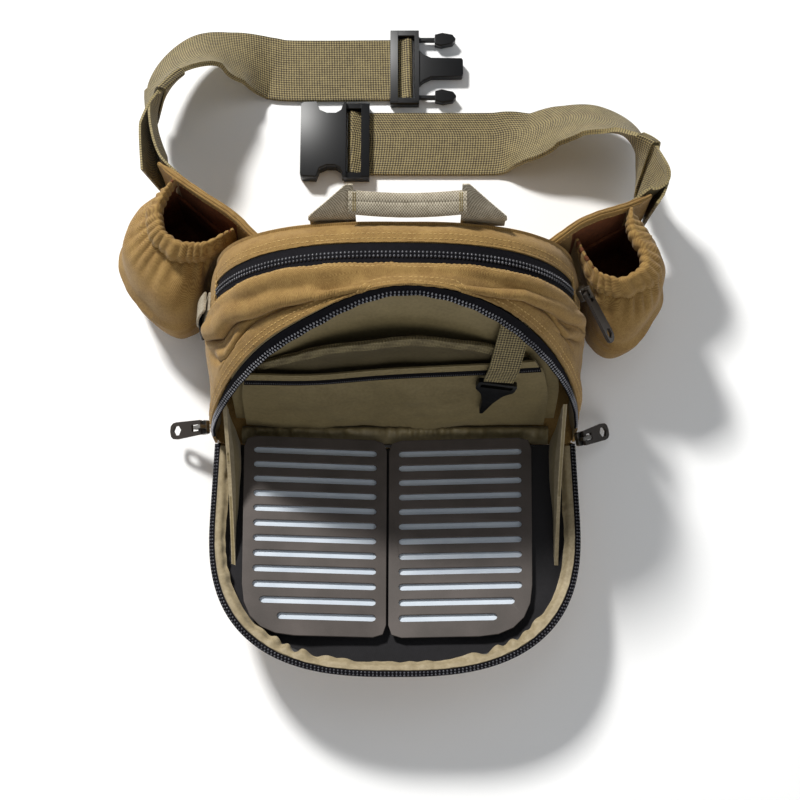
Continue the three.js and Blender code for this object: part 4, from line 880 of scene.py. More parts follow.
def top_strip(cloth, high, lift):
    """Strip of the given height along a cloth's upper edge, lifted off its face."""
    reach = lengths_along(cloth.grid.transpose(1, 0, 2))
    columns = np.linspace(0, high, 7)
    rows = []
    for row in range(cloth.grid.shape[0]):
        at = reach[-1, row] - columns[::-1]
        points = [np.interp(at, reach[:, row], cloth.grid[row, :, axis]) for axis in range(3)]
        rows.append(np.stack(points, -1))
    grid = np.array(rows)
    return pushed(grid, np.full(grid.shape[:2], lift))


def ribbed(strip, rows):
    shares = np.linspace(0, 1, rows)
    grid = np.stack([points_along(strip[:, column], shares) for column in range(strip.shape[1])], 1)
    ribs = RIB_DEPTH * np.sin(2 * math.pi * lengths_along(grid) / RIB_PITCH)
    return pushed(grid, ribs)


elastic_strip = ribbed(top_strip(slip_pocket, ELASTIC_HIGH, ELASTIC_LIFT), ELASTIC_ROWS)
cloth_wall("slip_pocket_elastic", elastic_strip, ELASTIC_THICK, [elastic], None)
print("elastic", round(mean_length(elastic_strip)), "mm long")

# %% [markdown]
# ## The hinge pleat
# A gathered strip of lining runs from the foot of the pockets down to the flap. Waves of two lengths,
# sharp pinches and a fine crumple stand in for its uneven gathers. A simulation could gather a strip as
# well, but would settle it in a new way after every change.

# %% Hinge pleat
PLEAT_HALF, PLEAT_STEPS = 112, 320
PLEAT_ROWS = ((-57.5, 1.4, 0.0), (-54.5, 1.9, 0.3), (-51.5, 2.2, 0.6), (-47.5, 4.2, 1.0), (-44.5, 0.9, 0.1))


def pleat_grid():
    along = np.linspace(0, 1, PLEAT_STEPS)
    ripple = 0.9 * np.sin(2 * math.pi * 6 * along) + 0.7 * np.sin(2 * math.pi * 17 * along + 1)
    pinches = 1.6 * np.abs(np.sin(math.pi * 23 * along + 2 * np.sin(11 * along))) ** 3
    lines = [np.stack([lerp(-PLEAT_HALF, PLEAT_HALF, along), np.full(PLEAT_STEPS, y),
                       FOOT + rise + wave * (ripple + pinches)], -1) for y, rise, wave in PLEAT_ROWS]
    grid = across_rails(lines, 17)
    return pushed(grid, 1.2 * np.sin(math.pi * shares_down(grid)[1]) * crumple(grid, 8, 24))


hinge_pleat = cloth_wall("hinge_pleat_cloth", pleat_grid(), LINING, [lining], "hinge_pleat")
declare_sheet(hinge_pleat)

# %% [markdown]
# ## The flap
# The flap is a shallow tray of canvas that lies on the floor, with its rim on a plane that rises from the
# hinge. The rim carries the lower half of the zip, a gathered binding inside it, and the black lining on
# which the fly panels lie. All of them follow one superellipse outline, drawn in by an inset, so that no
# gap opens between them.

# %% Flap outline
FLAP_HINGE, FLAP_LIFT, FLAP_TILT = -55, 20, math.radians(13.5)
FLAP_HALF, FLAP_LENGTH, FLAP_STRAIGHT, FLAP_SQUARE = 130, 178, 60, 2.7


def flap_points(x, away, height):
    """Points by their distance from the hinge and their height over the rim's plane."""
    y = FLAP_HINGE - away * math.cos(FLAP_TILT) + height * math.sin(FLAP_TILT)
    z = FLAP_LIFT + away * math.sin(FLAP_TILT) + height * math.cos(FLAP_TILT)
    return np.stack(np.broadcast_arrays(x, y, z), -1)


def flap_outline(inset, steps, start=4):
    angle = np.linspace(0, math.pi, 240)
    side = -np.cos(angle)
    power = 2 / FLAP_SQUARE
    half = FLAP_HALF - inset
    x = half * np.sign(side) * np.abs(side) ** power
    away = FLAP_STRAIGHT + (FLAP_LENGTH - FLAP_STRAIGHT - inset) * np.sin(angle).clip(0) ** power
    line = np.stack([np.concatenate([[-half], x, [half]]), np.concatenate([[start], away, [start]]),
                     np.zeros(242)], -1)
    return points_along(line, np.linspace(0, 1, steps))


def rim_strip(outer, inner, steps, columns):
    """Strip of the rim between two insets; each edge gives an inset, a height and where it starts."""
    edges = []
    for share in np.linspace(0, 1, columns):
        inset, height, start = [lerp(a, b, share) for a, b in zip(outer, inner)]
        line = flap_outline(inset, steps, start)
        edges.append(flap_points(line[:, 0], line[:, 1], height))
    return np.stack(edges, 1)


print("flap", 2 * FLAP_HALF, "by", FLAP_LENGTH, "mm, tilted", round(math.degrees(FLAP_TILT), 1), "degrees")

# %% [markdown]
# ### The flap's zip and binding
# Two strips run round the rim. The binding is a tape folded over the raw edges of zip and canvas, and it
# bunches most where it turns the two corners. Waves of uneven length and noise draw those gathers, with
# the outer edge held at the zip.

# %% Flap zip tape and binding
RIM_STEPS = 420
rim_tape = rim_strip((0.2, -0.8, 6), (4, 0, 6), 260, 7)
flap_zip = cloth_wall("flap_zip_tape_cloth", rim_tape, TAPE, [zip_tape], "flap_zip_tape")


def binding_grid():
    grid = rim_strip((4.0, 0.4, 8), (11.0, -3.8, 8), RIM_STEPS, 21)
    round_rim, inwards = shares_down(grid)
    corners = 0.3 + ridge(round_rim, 0.34, 0.08) + ridge(round_rim, 0.66, 0.08)
    gathers = np.sin(round_rim * 2 * math.pi * 29 + 3.4 * np.sin(round_rim * 37))
    push = corners * inwards * (1.1 * gathers + 3.6 * crumple(grid, 9, 14))
    push += 1.2 * ridge(inwards, 0.4, 0.3) + 0.5 * crumple(grid, 5, 15)
    grid = pushed(grid, push)
    grid[..., 0] -= np.sign(grid[..., 0]) * (corners * inwards ** 2 * 2.2 * crumple(grid, 13, 16))
    return grid


cloth_wall("flap_binding_cloth", binding_grid(), TAPE, [binding_cloth], "flap_binding")
print("rim", round(mean_length(rim_tape)), "mm round")

# %% [markdown]
# ### The flap's shell and lining
# The canvas tray turns up steeply at its wall, so its rings are scaled copies of the rim whose height
# falls off with a high power. The black lining hangs inside the binding, lowest along the middle. A flat
# sheet pressed into a bowl by simulation would wrinkle at its corners and lose the even rim.

# %% Flap shell and lining
SHELL_INSET, SHELL_RIM, SHELL_STEEP, SHELL_MIDDLE = 2.5, -2.4, 12, 80
BED_INSET, BED_LOW, BED_RISE, BED_REACH = 12.5, -16.2, 6.6, 108
BED_WALL = ((9.2, -5.4), (10.2, -8.6))
BED_WALL_RAMP = 30


def hinge_edge(half, steps):
    return lerp(half, -half, np.linspace(0, 1, steps + 2)[1:-1])


def flap_shell_grid():
    outline = flap_outline(SHELL_INSET, 260)
    rim = flap_points(outline[:, 0], outline[:, 1], SHELL_RIM)
    x = hinge_edge(FLAP_HALF - SHELL_INSET, 80)
    hinge = np.stack([x, np.full_like(x, rim[0, 1]), 1.6 + 13 * (np.abs(x) / FLAP_HALF) ** 8], -1)
    ring = np.concatenate([rim, hinge])
    middle = np.array([0, FLAP_HINGE - SHELL_MIDDLE, CANVAS / 2])
    rings = []
    for scale in (1, 0.99, 0.98, 0.965, 0.95, 0.93, 0.9, 0.86, 0.8, 0.7, 0.55, 0.35, 0.12):
        flat = lerp(middle, ring, scale)
        flat[:, 2] = middle[2] + (ring[:, 2] - middle[2]) * scale ** SHELL_STEEP
        rings.append(flat)
    grid = np.stack(rings, 1)
    lifted = np.clip((grid[..., 2] - 2) / 8, 0, 1) * np.clip(shares_down(grid)[1] / 0.12, 0, 1)
    push = lifted * (0.8 * crumple(grid, 30, 18) + 0.4 * crumple(grid, 11, 19))
    return pushed(grid, push, ringed=True)


def bed_ring(inset):
    outline = flap_outline(inset, 220, 3)
    x = hinge_edge(FLAP_HALF - inset, 70)
    return np.concatenate([outline[:, :2], np.stack([x, np.full_like(x, 3)], -1)])


def bed_height(x):
    return BED_LOW + BED_RISE * np.minimum(1, np.abs(x) / BED_REACH)


def flap_lining_grid():
    ring = bed_ring(BED_INSET)
    walled = np.clip((ring[:, 1] - 3) / BED_WALL_RAMP, 0, 1)
    rings = []
    for inset, height in BED_WALL:
        x, away = lerp(ring, bed_ring(inset), walled[:, None]).T
        rings.append(flap_points(x, away, lerp(bed_height(x), height, walled)))
    for scale in (1, 0.985, 0.96, 0.93, 0.89, 0.84, 0.77, 0.68, 0.56, 0.4, 0.2, 0.05):
        x, away = ring[:, 0] * scale, lerp(SHELL_MIDDLE, ring[:, 1], scale)
        rings.append(flap_points(x, away, bed_height(x)))
    grid = np.stack(rings, 1)
    edge = ridge(shares_down(grid)[1], 0.25, 0.16)
    push = edge * (1.1 * crumple(grid, 22, 20) + 0.6 * crumple(grid, 9, 21))
    return pushed(grid, push, ringed=True)


flap_shell = cloth_wall("flap_shell_canvas", flap_shell_grid(), CANVAS, [canvas], "flap_shell",
                        ringed=True, dish=True)
cloth_wall("flap_lining_cloth", flap_lining_grid(), LINING, [brushed], "flap_lining",
           ringed=True, dish=True)
print("flap rim", round(np.ptp(flap_shell.grid[..., 1])), "mm deep")

# %% [markdown]
# ## The side stays
# A triangle of lining on each side stops the flap from falling further. Its free edge sags and is folded
# into a hem. Lines fanned from its lower corner give the sheet, and the hem is a thicker strip along its
# edge.

# %% Side stays
STAY_X, STAY_BED, STAY_REACH, STAY_SAG, STAY_BELLY = 112.5, -8.5, 96, 7, 3
STAY_HIGH = (118, -43, 68)
HEM_WIDTH, HEM_THICK = 7.0, 2.8


def stay_grid(side):
    corner = flap_points(side * STAY_X, 3, STAY_BED)
    high = np.array([side * STAY_HIGH[0], *STAY_HIGH[1:]])
    low = flap_points(side * STAY_X, STAY_REACH, STAY_BED)
    along, out = np.meshgrid(np.linspace(0, 1, 60), np.linspace(0, 1, 24), indexing="ij")
    edge = lerp(high, low, along[..., None])
    edge[..., 2] -= STAY_SAG * np.sin(math.pi * along) * out
    grid = lerp(corner, edge, lerp(0.06, 1, out)[..., None])
    grid[..., 0] -= side * STAY_BELLY * np.sin(math.pi * out) * np.sin(math.pi * along)
    return pushed(grid, 0.8 * np.sin(math.pi * out) * crumple(grid, 18, 22 + side))


stays = [cloth_wall(f"flap_stay_{name}", stay_grid(side), LINING, [lining], f"flap_gusset_{name}")
         for name, side in (("left", -1), ("right", 1))]
for stay in stays:
    hem = top_strip(stay, HEM_WIDTH, 0)
    cloth_wall(f"{stay.piece.name}_hem", hem, HEM_THICK, [binding_cloth], None)
print("stays", [stay.piece.name for stay in stays])

# %% [markdown]
# ## Padding
# The back and the wings are foam between two cloths, sewn together all round. A short cloth simulation
# with air pressure inside swells each wall while its sewn edge is held. The foam is thin, so no point may
# move further than a small cap. The result is kept as the mesh, and no modifier stays behind.

# %% Padding helper
PUFF_FRAMES, PUFF_PRESSURE, PUFF_CAP = 20, 4.0, 0.7


def puffed(cloth, sewn):
    """Swells a padded wall by simulation. Sewn marks the grid points that stay where they are."""
    mesh = cloth.piece.data
    start = np.zeros(len(mesh.vertices) * 3)
    mesh.vertices.foreach_get("co", start)
    held = cloth.piece.vertex_groups.new(name="sewn_edge")
    held.add(np.flatnonzero(np.tile(sewn.ravel(), 2)).tolist(), 1.0, "REPLACE")
    pad = cloth.piece.modifiers.new("padding", "CLOTH")
    pad.settings.use_pressure = True
    pad.settings.uniform_pressure_force = PUFF_PRESSURE
    pad.settings.effector_weights.gravity = 0
    pad.settings.vertex_group_mass = held.name
    pad.point_cache.frame_end = PUFF_FRAMES
    for number in range(1, PUFF_FRAMES + 1):
        bpy.context.scene.frame_set(number)
    swollen = cloth.piece.evaluated_get(bpy.context.evaluated_depsgraph_get()).data
    moved = np.zeros_like(start)
    swollen.vertices.foreach_get("co", moved)
    cloth.piece.modifiers.remove(pad)
    cloth.piece.vertex_groups.remove(held)
    bpy.context.scene.frame_set(1)
    step = (moved - start).reshape(-1, 3)
    length = np.maximum(np.linalg.norm(step, axis=1, keepdims=True), 1e-9)
    step *= np.minimum(1, PUFF_CAP * MM / length)
    mesh.vertices.foreach_set("co", start + step.ravel())
    mesh.update()
    swelled = float(np.linalg.norm(step, axis=1).max() / MM)
    print(cloth.piece.name, "swelled by up to", round(swelled, 2), "mm")


print("padding swells by at most", PUFF_CAP, "mm")

# %% [markdown]
# ## The back and the base
# The back is a padded panel that lies against the wearer, and the base a flat one on the floor. Both are
# cut to an outline, so they are built as rings drawn in towards the middle. The back's wall thins at the
# seam.

# %% Rings and padding
RING_SCALES = (1, 0.99, 0.98, 0.965, 0.945, 0.92, 0.88, 0.82, 0.72, 0.58, 0.4, 0.2, 0.05)


def rings_inwards(ring, middle):
    return np.stack([lerp(middle, ring, scale) for scale in RING_SCALES], 1)


def swelling(grid, seam_mm, full, reach_mm):
    """Thickness of a padded wall: thin at its sewn edge, full a little way in."""
    inwards = lengths_along(grid.transpose(1, 0, 2)).T
    share = np.clip(inwards / reach_mm, 0, 1)
    return lerp(seam_mm, full, np.sin(share * math.pi / 2))


print(len(RING_SCALES), "rings from edge to middle")

# %% [markdown]
# ### Back panel and base panel
# The back stands a little over its seam and tucks in at the rim. The base is cut with round corners.
# Neither shows in the photograph, so both are finished plainly.

# %% Back panel and base panel
PADDING = 4.0
BACK_FACE, BACK_OVERHANG, BACK_MIDDLE, RIM_TUCK = 57.8, 1.5, 75.0, 1.6
BACK_SWELL, BACK_SEWN = (2.0, 2.8, 14), 0.2
BASE_FRONT, BASE_BACK, BASE_HALF, BASE_THICK, BASE_CORNER = -57, 57.4, 133, 3, 10


def back_panel_grid():
    rail = RAILS["back_seam"]
    line = points_along(rail_line("back_seam"), np.linspace(0, 1, 160))
    x = line[:, 0] * (1 + BACK_OVERHANG / rail.half)
    z = (line[:, 2] - FOOT) * (1 + BACK_OVERHANG / rail.height) + FOOT
    foot = lerp(x[-1], x[0], np.linspace(0, 1, 62)[1:-1])
    x, z = np.concatenate([x, foot]), np.concatenate([z, np.full(60, FOOT)])
    ring = np.stack([x, np.full(len(x), BACK_FACE - PADDING / 2), z], -1)
    grid = rings_inwards(ring, np.array([0, BACK_FACE - PADDING / 2, BACK_MIDDLE]))
    grid[..., 1] -= RIM_TUCK * ridge(shares_down(grid)[1], 0, 0.16)
    return pushed(grid, -0.4 + 0.35 * crumple(grid, 40, 26), ringed=True)


def base_panel_grid():
    corners = []
    for x, y, start in ((1, 0, -90), (1, 1, 0), (-1, 1, 90), (-1, 0, 180)):
        angle = np.radians(start + np.linspace(0, 90, 10))
        middle_y = BASE_BACK - BASE_CORNER if y else BASE_FRONT + BASE_CORNER
        corners.append(np.stack([x * (BASE_HALF - BASE_CORNER) + BASE_CORNER * np.cos(angle),
                                 middle_y + BASE_CORNER * np.sin(angle), np.full(10, BASE_THICK / 2)], -1))
    outline = np.concatenate([*corners, corners[0][:1]])
    ring = points_along(outline, np.linspace(0, 1, 240, endpoint=False))
    return rings_inwards(ring, np.array([0, (BASE_FRONT + BASE_BACK) / 2, BASE_THICK / 2]))


back_grid = back_panel_grid()
back_panel = cloth_wall("back_panel_pad", back_grid, swelling(back_grid, *BACK_SWELL), [canvas],
                        "back_panel", ringed=True, dish=True)
cloth_wall("base_panel_cloth", base_panel_grid(), BASE_THICK, [canvas], "base_panel",
           ringed=True, dish=True)
puffed(back_panel, shares_down(back_grid)[1] < BACK_SEWN)
print("back panel", round(np.ptp(back_grid[..., 0])), "mm wide")

# %% [markdown]
# ## The wings
# Each wing is a padded panel sewn flat to the back, which leaves it at a bend and reaches round towards
# the wearer's hip. It narrows to the belt. Its grid is bent with the sewing pattern's own measures, along
# the wing and up it, so that the pocket and the belt can be set on it by the same measures.

# %% Wing shape
Wing = namedtuple("Wing", "side bend angle length bow pocket")
WINGS = {"left": Wing(-1, -90, math.radians(41.5), 104, 3, (26, 83)),
         "right": Wing(1, 106, math.radians(30.5), 87, 5, (21, 66))}
WING_Y = 60.2
WING_ROOT_REACH = 26
WING_LOW, WING_HIGH, WING_TIP_LOW, WING_TIP_HIGH = 4, 108, 34, 86
BEND_RADIUS = 9


def wing_points(wing, along, out):
    """Points by their distance along a wing and out from its face."""
    along, out = np.broadcast_arrays(np.asarray(along, float), np.asarray(out, float))
    x = wing.bend + wing.side * (np.cos(wing.angle) * along + np.sin(wing.angle) * out)
    y = WING_Y + np.sin(wing.angle) * along - np.cos(wing.angle) * out
    return np.stack([x, y, np.zeros_like(x)], -1)


def wing_foot(wing, along):
    flat = np.stack([wing.bend + wing.side * along, np.full_like(along, WING_Y), np.zeros_like(along)], -1)
    turned = wing_points(wing, along, 0.0)
    share = np.clip((along + BEND_RADIUS) / (2 * BEND_RADIUS), 0, 1)[:, None]
    return np.where(share < 1, lerp(flat, turned, share ** 2 * (3 - 2 * share)), turned)


def wing_grid(wing):
    along = np.linspace(-WING_ROOT_REACH, wing.length, 80)
    foot = wing_foot(wing, along)
    share = np.maximum(0, along) / wing.length
    low = lerp(WING_LOW, WING_TIP_LOW, share ** 6)
    high = lerp(WING_HIGH, WING_TIP_HIGH, share ** 1.5)
    up = np.linspace(0, 1, 44)
    grid = np.repeat(foot[:, None], 44, 1)
    grid[..., 2] = lerp(low[:, None], high[:, None], up)
    lean = wing.bow * ridge(along, 36, 24)[:, None] * np.clip((grid[..., 2] - 76) / 30, 0, 1) ** 1.5
    grid[..., 0] -= wing.side * math.sin(wing.angle) * lean
    grid[..., 1] += math.cos(wing.angle) * lean
    grid = grid if wing.side < 0 else grid[::-1]
    return pushed(grid, 0.7 * crumple(grid, 26, 27) + 0.3 * crumple(grid, 9, 28))


print("wings", [round(wing.length) for wing in WINGS.values()], "mm long")

# %% [markdown]
# ### Wing pads
# Bound edges make a wing's wall thinner there than in the middle. Inside the pocket its inner face wears
# canvas darkened as painted shade, and plain canvas everywhere else, which is set face by face along the
# wing.

# %% Wing pads
WING_SWELL, WING_SEWN = (2.2, 3.2, 12), 7


def bound_edge(grid):
    up = lengths_along(grid.transpose(1, 0, 2)).T
    along = lengths_along(grid)
    return np.minimum(np.minimum(up, up[:, -1:] - up), np.minimum(along, along[-1:] - along))


def bound_thickness(grid, seam_mm, full, reach_mm):
    edge = bound_edge(grid)
    bead = 0.9 * ridge(edge, 2.2, 1.6)
    return lerp(seam_mm, full, np.sin(np.clip(edge / reach_mm, 0, 1) * math.pi / 2)) + bead


wings = {}
for name, wing in WINGS.items():
    grid = wing_grid(wing)
    wings[name] = cloth_wall(f"wing_{name}_pad", grid, bound_thickness(grid, *WING_SWELL),
                             [canvas, canvas_painted_shade], f"wing_{name}")
    puffed(wings[name], bound_edge(grid) < WING_SEWN)
    # Rows outside the pocket go back to plain canvas, so the painted shade stays inside it.
    along = np.linspace(-WING_ROOT_REACH, wing.length, len(grid))[::1 if wing.side < 0 else -1]
    outside = (along[:-1] < wing.pocket[0]) | (along[:-1] > wing.pocket[1])
    cells = grid.shape[1] - 1
    for face in np.flatnonzero(np.repeat(outside, cells)) + outside.size * cells:
        wings[name].piece.data.polygons[face].material_index = 0
print("wing pads", [wing.piece.name for wing in wings.values()])

# %% [markdown]
# ### Wing bindings
# A canvas tape is folded over the upper edge of each wing and stitched through. Its section is a short
# profile, set along the wing's top line. A bevel on the pad would round the edge, but leave no tape to
# stitch.

# %% Wing bindings
BINDING_THICK = 0.9
BINDING_PROFILE = ((2.1, 6), (2.3, 1.6), (1.8, 0.2), (1.1, 1.0), (0.5, -0.4), (-0.5, -0.4), (-1.1, 1.0),
                   (-1.8, 0.2), (-2.3, 1.6), (-2.1, 6))


def edge_binding(name, cloth):
    """A tape folded over a cloth's upper edge, from a profile of steps out of the cloth and down it."""
    top = cloth.grid[:, -1]
    normals = cloth.normals[:, -1]
    down = unit(cloth.grid[:, -6] - top)
    reach = lengths_along(top)[:, None]
    taper = np.clip(np.minimum(reach, reach[-1] - reach) / 12, 0.4, 1)
    lines = [top + normals * out * taper + down * below for out, below in BINDING_PROFILE]
    grid = across_rails(lines, 46)
    grid = pushed(grid, 0.25 * crumple(grid, 6, 29))
    return cloth_wall(name, grid, BINDING_THICK, [canvas], None)


bindings = {name: edge_binding(f"wing_{name}_binding", wing) for name, wing in wings.items()}
print("bindings", [round(mean_length(cloth.grid)) for cloth in bindings.values()], "mm long")

# %% [markdown]
# ## The bottle pockets
# A gathered pouch of canvas sits on each wing. Its mouth runs in a casing with elastic inside, which
# bunches the cloth into scallops, and the pleats fade out down the belly. The pouch closes under itself
# at the floor. Fifteen outlines at falling heights give the form. Each is a mix of three curves seen from
# above: the rim, the casing's seam and the belly.

# %% Pocket outlines
PocketRow = namedtuple("PocketRow", "height rolled swell closed gather")
POCKET_ROWS = [PocketRow(*row) for row in (
    (87, 1.08, 0, 0, 0.6), (93.5, 1.14, 0, 0, 0.6), (97, 0.92, 0, 0, 0.8), (95.5, 0.6, 0, 0, 1),
    (91.5, 0.2, 0, 0, 1), (85.5, 0, 0, 0, 1), (82, 0, 0.1, 0, 1), (76, 0, 0.4, 0, 0.7),
    (66, 0, 0.72, 0, 0.4), (48, 0, 0.9, 0, 0.1), (24, 0, 1, 0, 0), (8, 0, 1, 0.06, 0),
    (1.6, 0, 1, 0.3, 0), (1.2, 0, 1, 0.96, 0), (58, 0, 1, 1, 0))]
ROLL_TOP = 2 / (len(POCKET_ROWS) - 1)
Pocket = namedtuple("Pocket", "belly_far rim seam belly")
POCKETS = {
    "left": Pocket(
        90,
        [(-118.6, 71.5), (-128, 65.8), (-144.5, 64.2), (-157.8, 70.1), (-164, 82.6), (-162.9, 96)],
        [(-118, 68), (-129.5, 60), (-141, 56), (-152.5, 57.2), (-164, 65.6), (-172, 79.7), (-170, 96)],
        [(-122, 66), (-136, 55), (-143, 29), (-159, 20), (-180, 34), (-200, 66), (-189, 100)]),
    "right": Pocket(
        72,
        [(131, 56), (137, 46.8), (144, 40.8), (154, 38.8), (164, 41.5), (172, 49.5), (172, 58), (167, 68),
         (163.5, 79)],
        [(131, 57), (136, 43), (145, 33), (157.8, 31), (168, 33.5), (178, 39.5), (183.5, 48), (180, 66)],
        [(135, 60), (139, 36), (145, 14), (157, 5), (173, 12), (190, 38), (193, 66)]),
}
POCKET_SEAT = 3.4
POCKET_STEPS = 240
POCKET_COLUMNS = 104


def pouch_outline(wing, near, far, middle):
    """Line from the wing round the pouch and back, seen from above."""
    ends = wing_points(wing, [near, far], POCKET_SEAT)
    points = [ends[0], *[(x, y, 0) for x, y in middle], ends[1]]
    return points_along(curve_through(points, 80), np.linspace(0, 1, POCKET_STEPS))


def pouch_lines(wing, pocket):
    around = np.linspace(0, 1, POCKET_STEPS)
    near, far = wing.pocket
    rim = pouch_outline(wing, near, far, pocket.rim)
    seam_line = pouch_outline(wing, near, far, pocket.seam)
    belly = pouch_outline(wing, near, pocket.belly_far, pocket.belly)
    chord = wing_points(wing, lerp(near, pocket.belly_far, around), POCKET_SEAT)
    towards = unit(chord - seam_line)
    ruffle = (0.7 * np.sin(math.pi * around) * np.cos(2 * math.pi * 6 * around))[:, None]
    lines = []
    for row in POCKET_ROWS:
        casing = lerp(seam_line, rim, row.rolled) + towards * ruffle * row.gather
        line = lerp(lerp(casing, belly, row.swell), chord, row.closed)
        line[:, 2] = row.height
        lines.append(line)
    return lines


print(len(POCKET_ROWS), "outlines from", POCKET_ROWS[0].height, "mm down to", POCKET_ROWS[-2].height, "mm")

# %% [markdown]
# ### Gathers of the pockets
# The elastic in the casing bunches the cloth. The gathers are pushes along the cloth's own normal:
# scallops on the casing, a deep seam under it, pleats that fade out below, and one slack fold across the
# belly. A simulation would gather it too, but not in the places that the photograph shows.

# %% Pocket gathers
SCALLOPS = 19
CASING_SEAM = 84.5


def pocket_grid(wing, pocket, seed):
    grid = across_rails(pouch_lines(wing, pocket), POCKET_COLUMNS)
    grid[..., 2] = np.maximum(grid[..., 2], CANVAS / 2 + 0.1)
    around, down = shares_down(grid)
    height = grid[..., 2]
    free = np.clip(np.sin(math.pi * around) * 4, 0, 1) * (down < 0.78)
    outside = np.clip((down - ROLL_TOP) / 0.06, 0, 1)
    wave = np.sin(2 * math.pi * SCALLOPS * around + 1.8 * np.sin(around * 21))
    # The casing swells, its seam bites in below, and a small lip stands between the two.
    push = outside * (1.6 * ridge(height, 89.5, 3.6) - 2.3 * ridge(height + 0.7 * wave, CASING_SEAM, 1.3))
    push += outside * 1.3 * ridge(height + 0.7 * wave, CASING_SEAM + 2.3, 0.9)
    push += 0.6 * wave * ridge(height, 91, 7)
    # Pleats hang from the seam and fade out, and the belly below is slack.
    pleats = np.sin(2 * math.pi * 15 * around + 2.6 * np.sin(around * 13 + seed))
    push += outside * 0.9 * ridge(height, 78, 6) * pleats * (1 + crumple(grid, 20, seed + 4))
    slack_below = outside * np.clip((CASING_SEAM - height) / 8, 0, 1)
    push += slack_below * (2.4 * crumple(grid, 48, seed) + 1.4 * crumple(grid, 20, seed + 1))
    push += 0.3 * crumple(grid, 8, seed + 2)
    # One slack fold crosses the belly.
    fold = 34 + 5 * np.sin(around * 5 + seed)
    deep = 0.4 + ridge(around, 0.58, 0.22)
    push += deep * (2.6 * ridge(height, fold + 4, 3.4) - 2.4 * ridge(height, fold - 2, 2.2))
    grid = grid if wing.side < 0 else grid[::-1]
    return pushed(grid, (push * free) if wing.side < 0 else (push * free)[::-1])


pockets = {}
for seed, (name, pocket) in enumerate(POCKETS.items(), 30):
    grid = pocket_grid(WINGS[name], pocket, seed)
    # The pouch's inner face and its hems wear canvas darkened as painted shade.
    pockets[name] = cloth_wall(f"pocket_{name}_canvas", grid, CANVAS, [canvas, canvas_painted_shade, canvas_painted_shade],
                               f"pocket_{name}")
    declare_sheet(pockets[name])

# %% [markdown]
# ## The belts
# Two-inch webbing is sewn behind each wing, arches away on edge, twists to lie flat and turns round the
# buckle's bar. It comes back over itself, passes a keeper and ends in a loose tail. Each row of a route
# gives a point and how far the upper edge leans inwards. A curve object could carry a ribbon too, but its
# twist is harder to set at each point.

# %% Belt routes
WEBBING = 1.6
BELT_WIDTH = 50.8
FLOOR_LAYER = WEBBING / 2 + 0.1
LAYER_STEP = WEBBING + 0.5
BAR_TURN, BAR_FALL = 2.7, 7
BELT_HEIGHT = 60
BELT_FINE = 15
Route = namedtuple("Route", "side sewn_from floor_y bar keeper rows tail")
ROUTES = {
    "left": Route(1, 56, 244, 10, (-176, 199, 48.5),
                  [(-174.4, 162.5, 57.4, -3), (-177.2, 183, 51, 11), (-170.7, 214, 46.5, 39),
                   (-147.7, 240.8, 32, 60), (-124, 246.4, 17, 72), (-100, 245.6, 2.6, 89)],
                  [(-181.6, 175, 55, 2), (-179.8, 160, 57.5, -6), (-176.8, 143, 59, -11),
                   (-174.8, 124, 60, -11)]),
    "right": Route(-1, 40, 181.5, -33.5, (184, 146, 44),
                   [(187.4, 115.6, 60, -12), (185.6, 137, 48, -13), (180.5, 155.4, 41, 9),
                    (172.5, 173, 37.5, 37), (150, 186.2, 29.5, 50), (126.5, 187.3, 20.5, 55),
                    (105, 182.4, 11.3, 64), (88, 182.2, 4.2, 84)],
                   [(189.8, 121, 56.5, -11), (188.2, 109, 58.5, -7), (183.4, 98.6, 59, -3)]),
}
Stations = namedtuple("Stations", "middles edges outwards")


def leaned_stations(rows, side, samples):
    """Points along a strip, with the ways of its upper edge and its outer face."""
    rows = np.asarray(rows, float)
    line = curve_through(rows[:, :3], samples)
    leans = np.stack([rows[:, 3], np.arange(len(rows)) * 40.0, np.zeros(len(rows))], -1)
    lean = np.radians(curve_through(leans, samples)[:, :1])
    way = unit(np.gradient(line, axis=0))
    up = unit(np.array([0.0, 0.0, 1.0]) - way * way[:, 2:])
    inwards = np.cross(way, up) * side
    edge = unit(up * np.cos(lean) + inwards * np.sin(lean))
    line[:, 2] = np.maximum(line[:, 2], FLOOR_LAYER)
    return Stations(line, edge, unit(np.cross(edge, way) * side))


def belt_run(route, wing):
    """The belt from its seam behind the wing to the buckle's bar."""
    behind = -(PADDING / 2 + 0.8 + WEBBING / 2)
    places = ((route.sewn_from, behind), (wing.length - 12, behind), (wing.length + 4, behind - 1.6))
    sewn = [(*wing_points(wing, along, out)[:2], BELT_HEIGHT, 0) for along, out in places]
    landing = route.rows[-1][0] + route.side * 12
    lying = [(x, route.floor_y, FLOOR_LAYER, 90) for x in (landing, route.bar)]
    rows = [*sewn, *route.rows, *lying]
    return leaned_stations(rows, route.side, (len(rows) - 1) * BELT_FINE)


for name, route in ROUTES.items():
    print("belt", name, "runs", round(mean_length(belt_run(route, WINGS[name]).middles)), "mm to the bar")

# %% [markdown]
# ### Turns and tails
# At the buckle the webbing goes round the bar and lies back on itself, one layer higher, as far as the
# keeper. Behind that its end hangs free and turns out of the run's plane. The edges of the strip are a
# little thicker than its middle, as a woven selvedge is.

# %% Belt turns and tails
SELVEDGE = 0.3


def bar_turn(route):
    angle = np.radians(np.linspace(-80, 115, 14))
    x = route.bar + route.side * BAR_TURN * np.cos(angle)
    z = FLOOR_LAYER + BAR_TURN + BAR_TURN * np.sin(angle)
    down = (route.bar - route.side * BAR_FALL, FLOOR_LAYER + LAYER_STEP)
    return np.stack([np.append(x, down[0]), np.full(15, route.floor_y), np.append(z, down[1])], -1)


def keeper_index(route, run):
    return int(np.argmin(np.linalg.norm(run.middles - np.array(route.keeper), axis=1)))


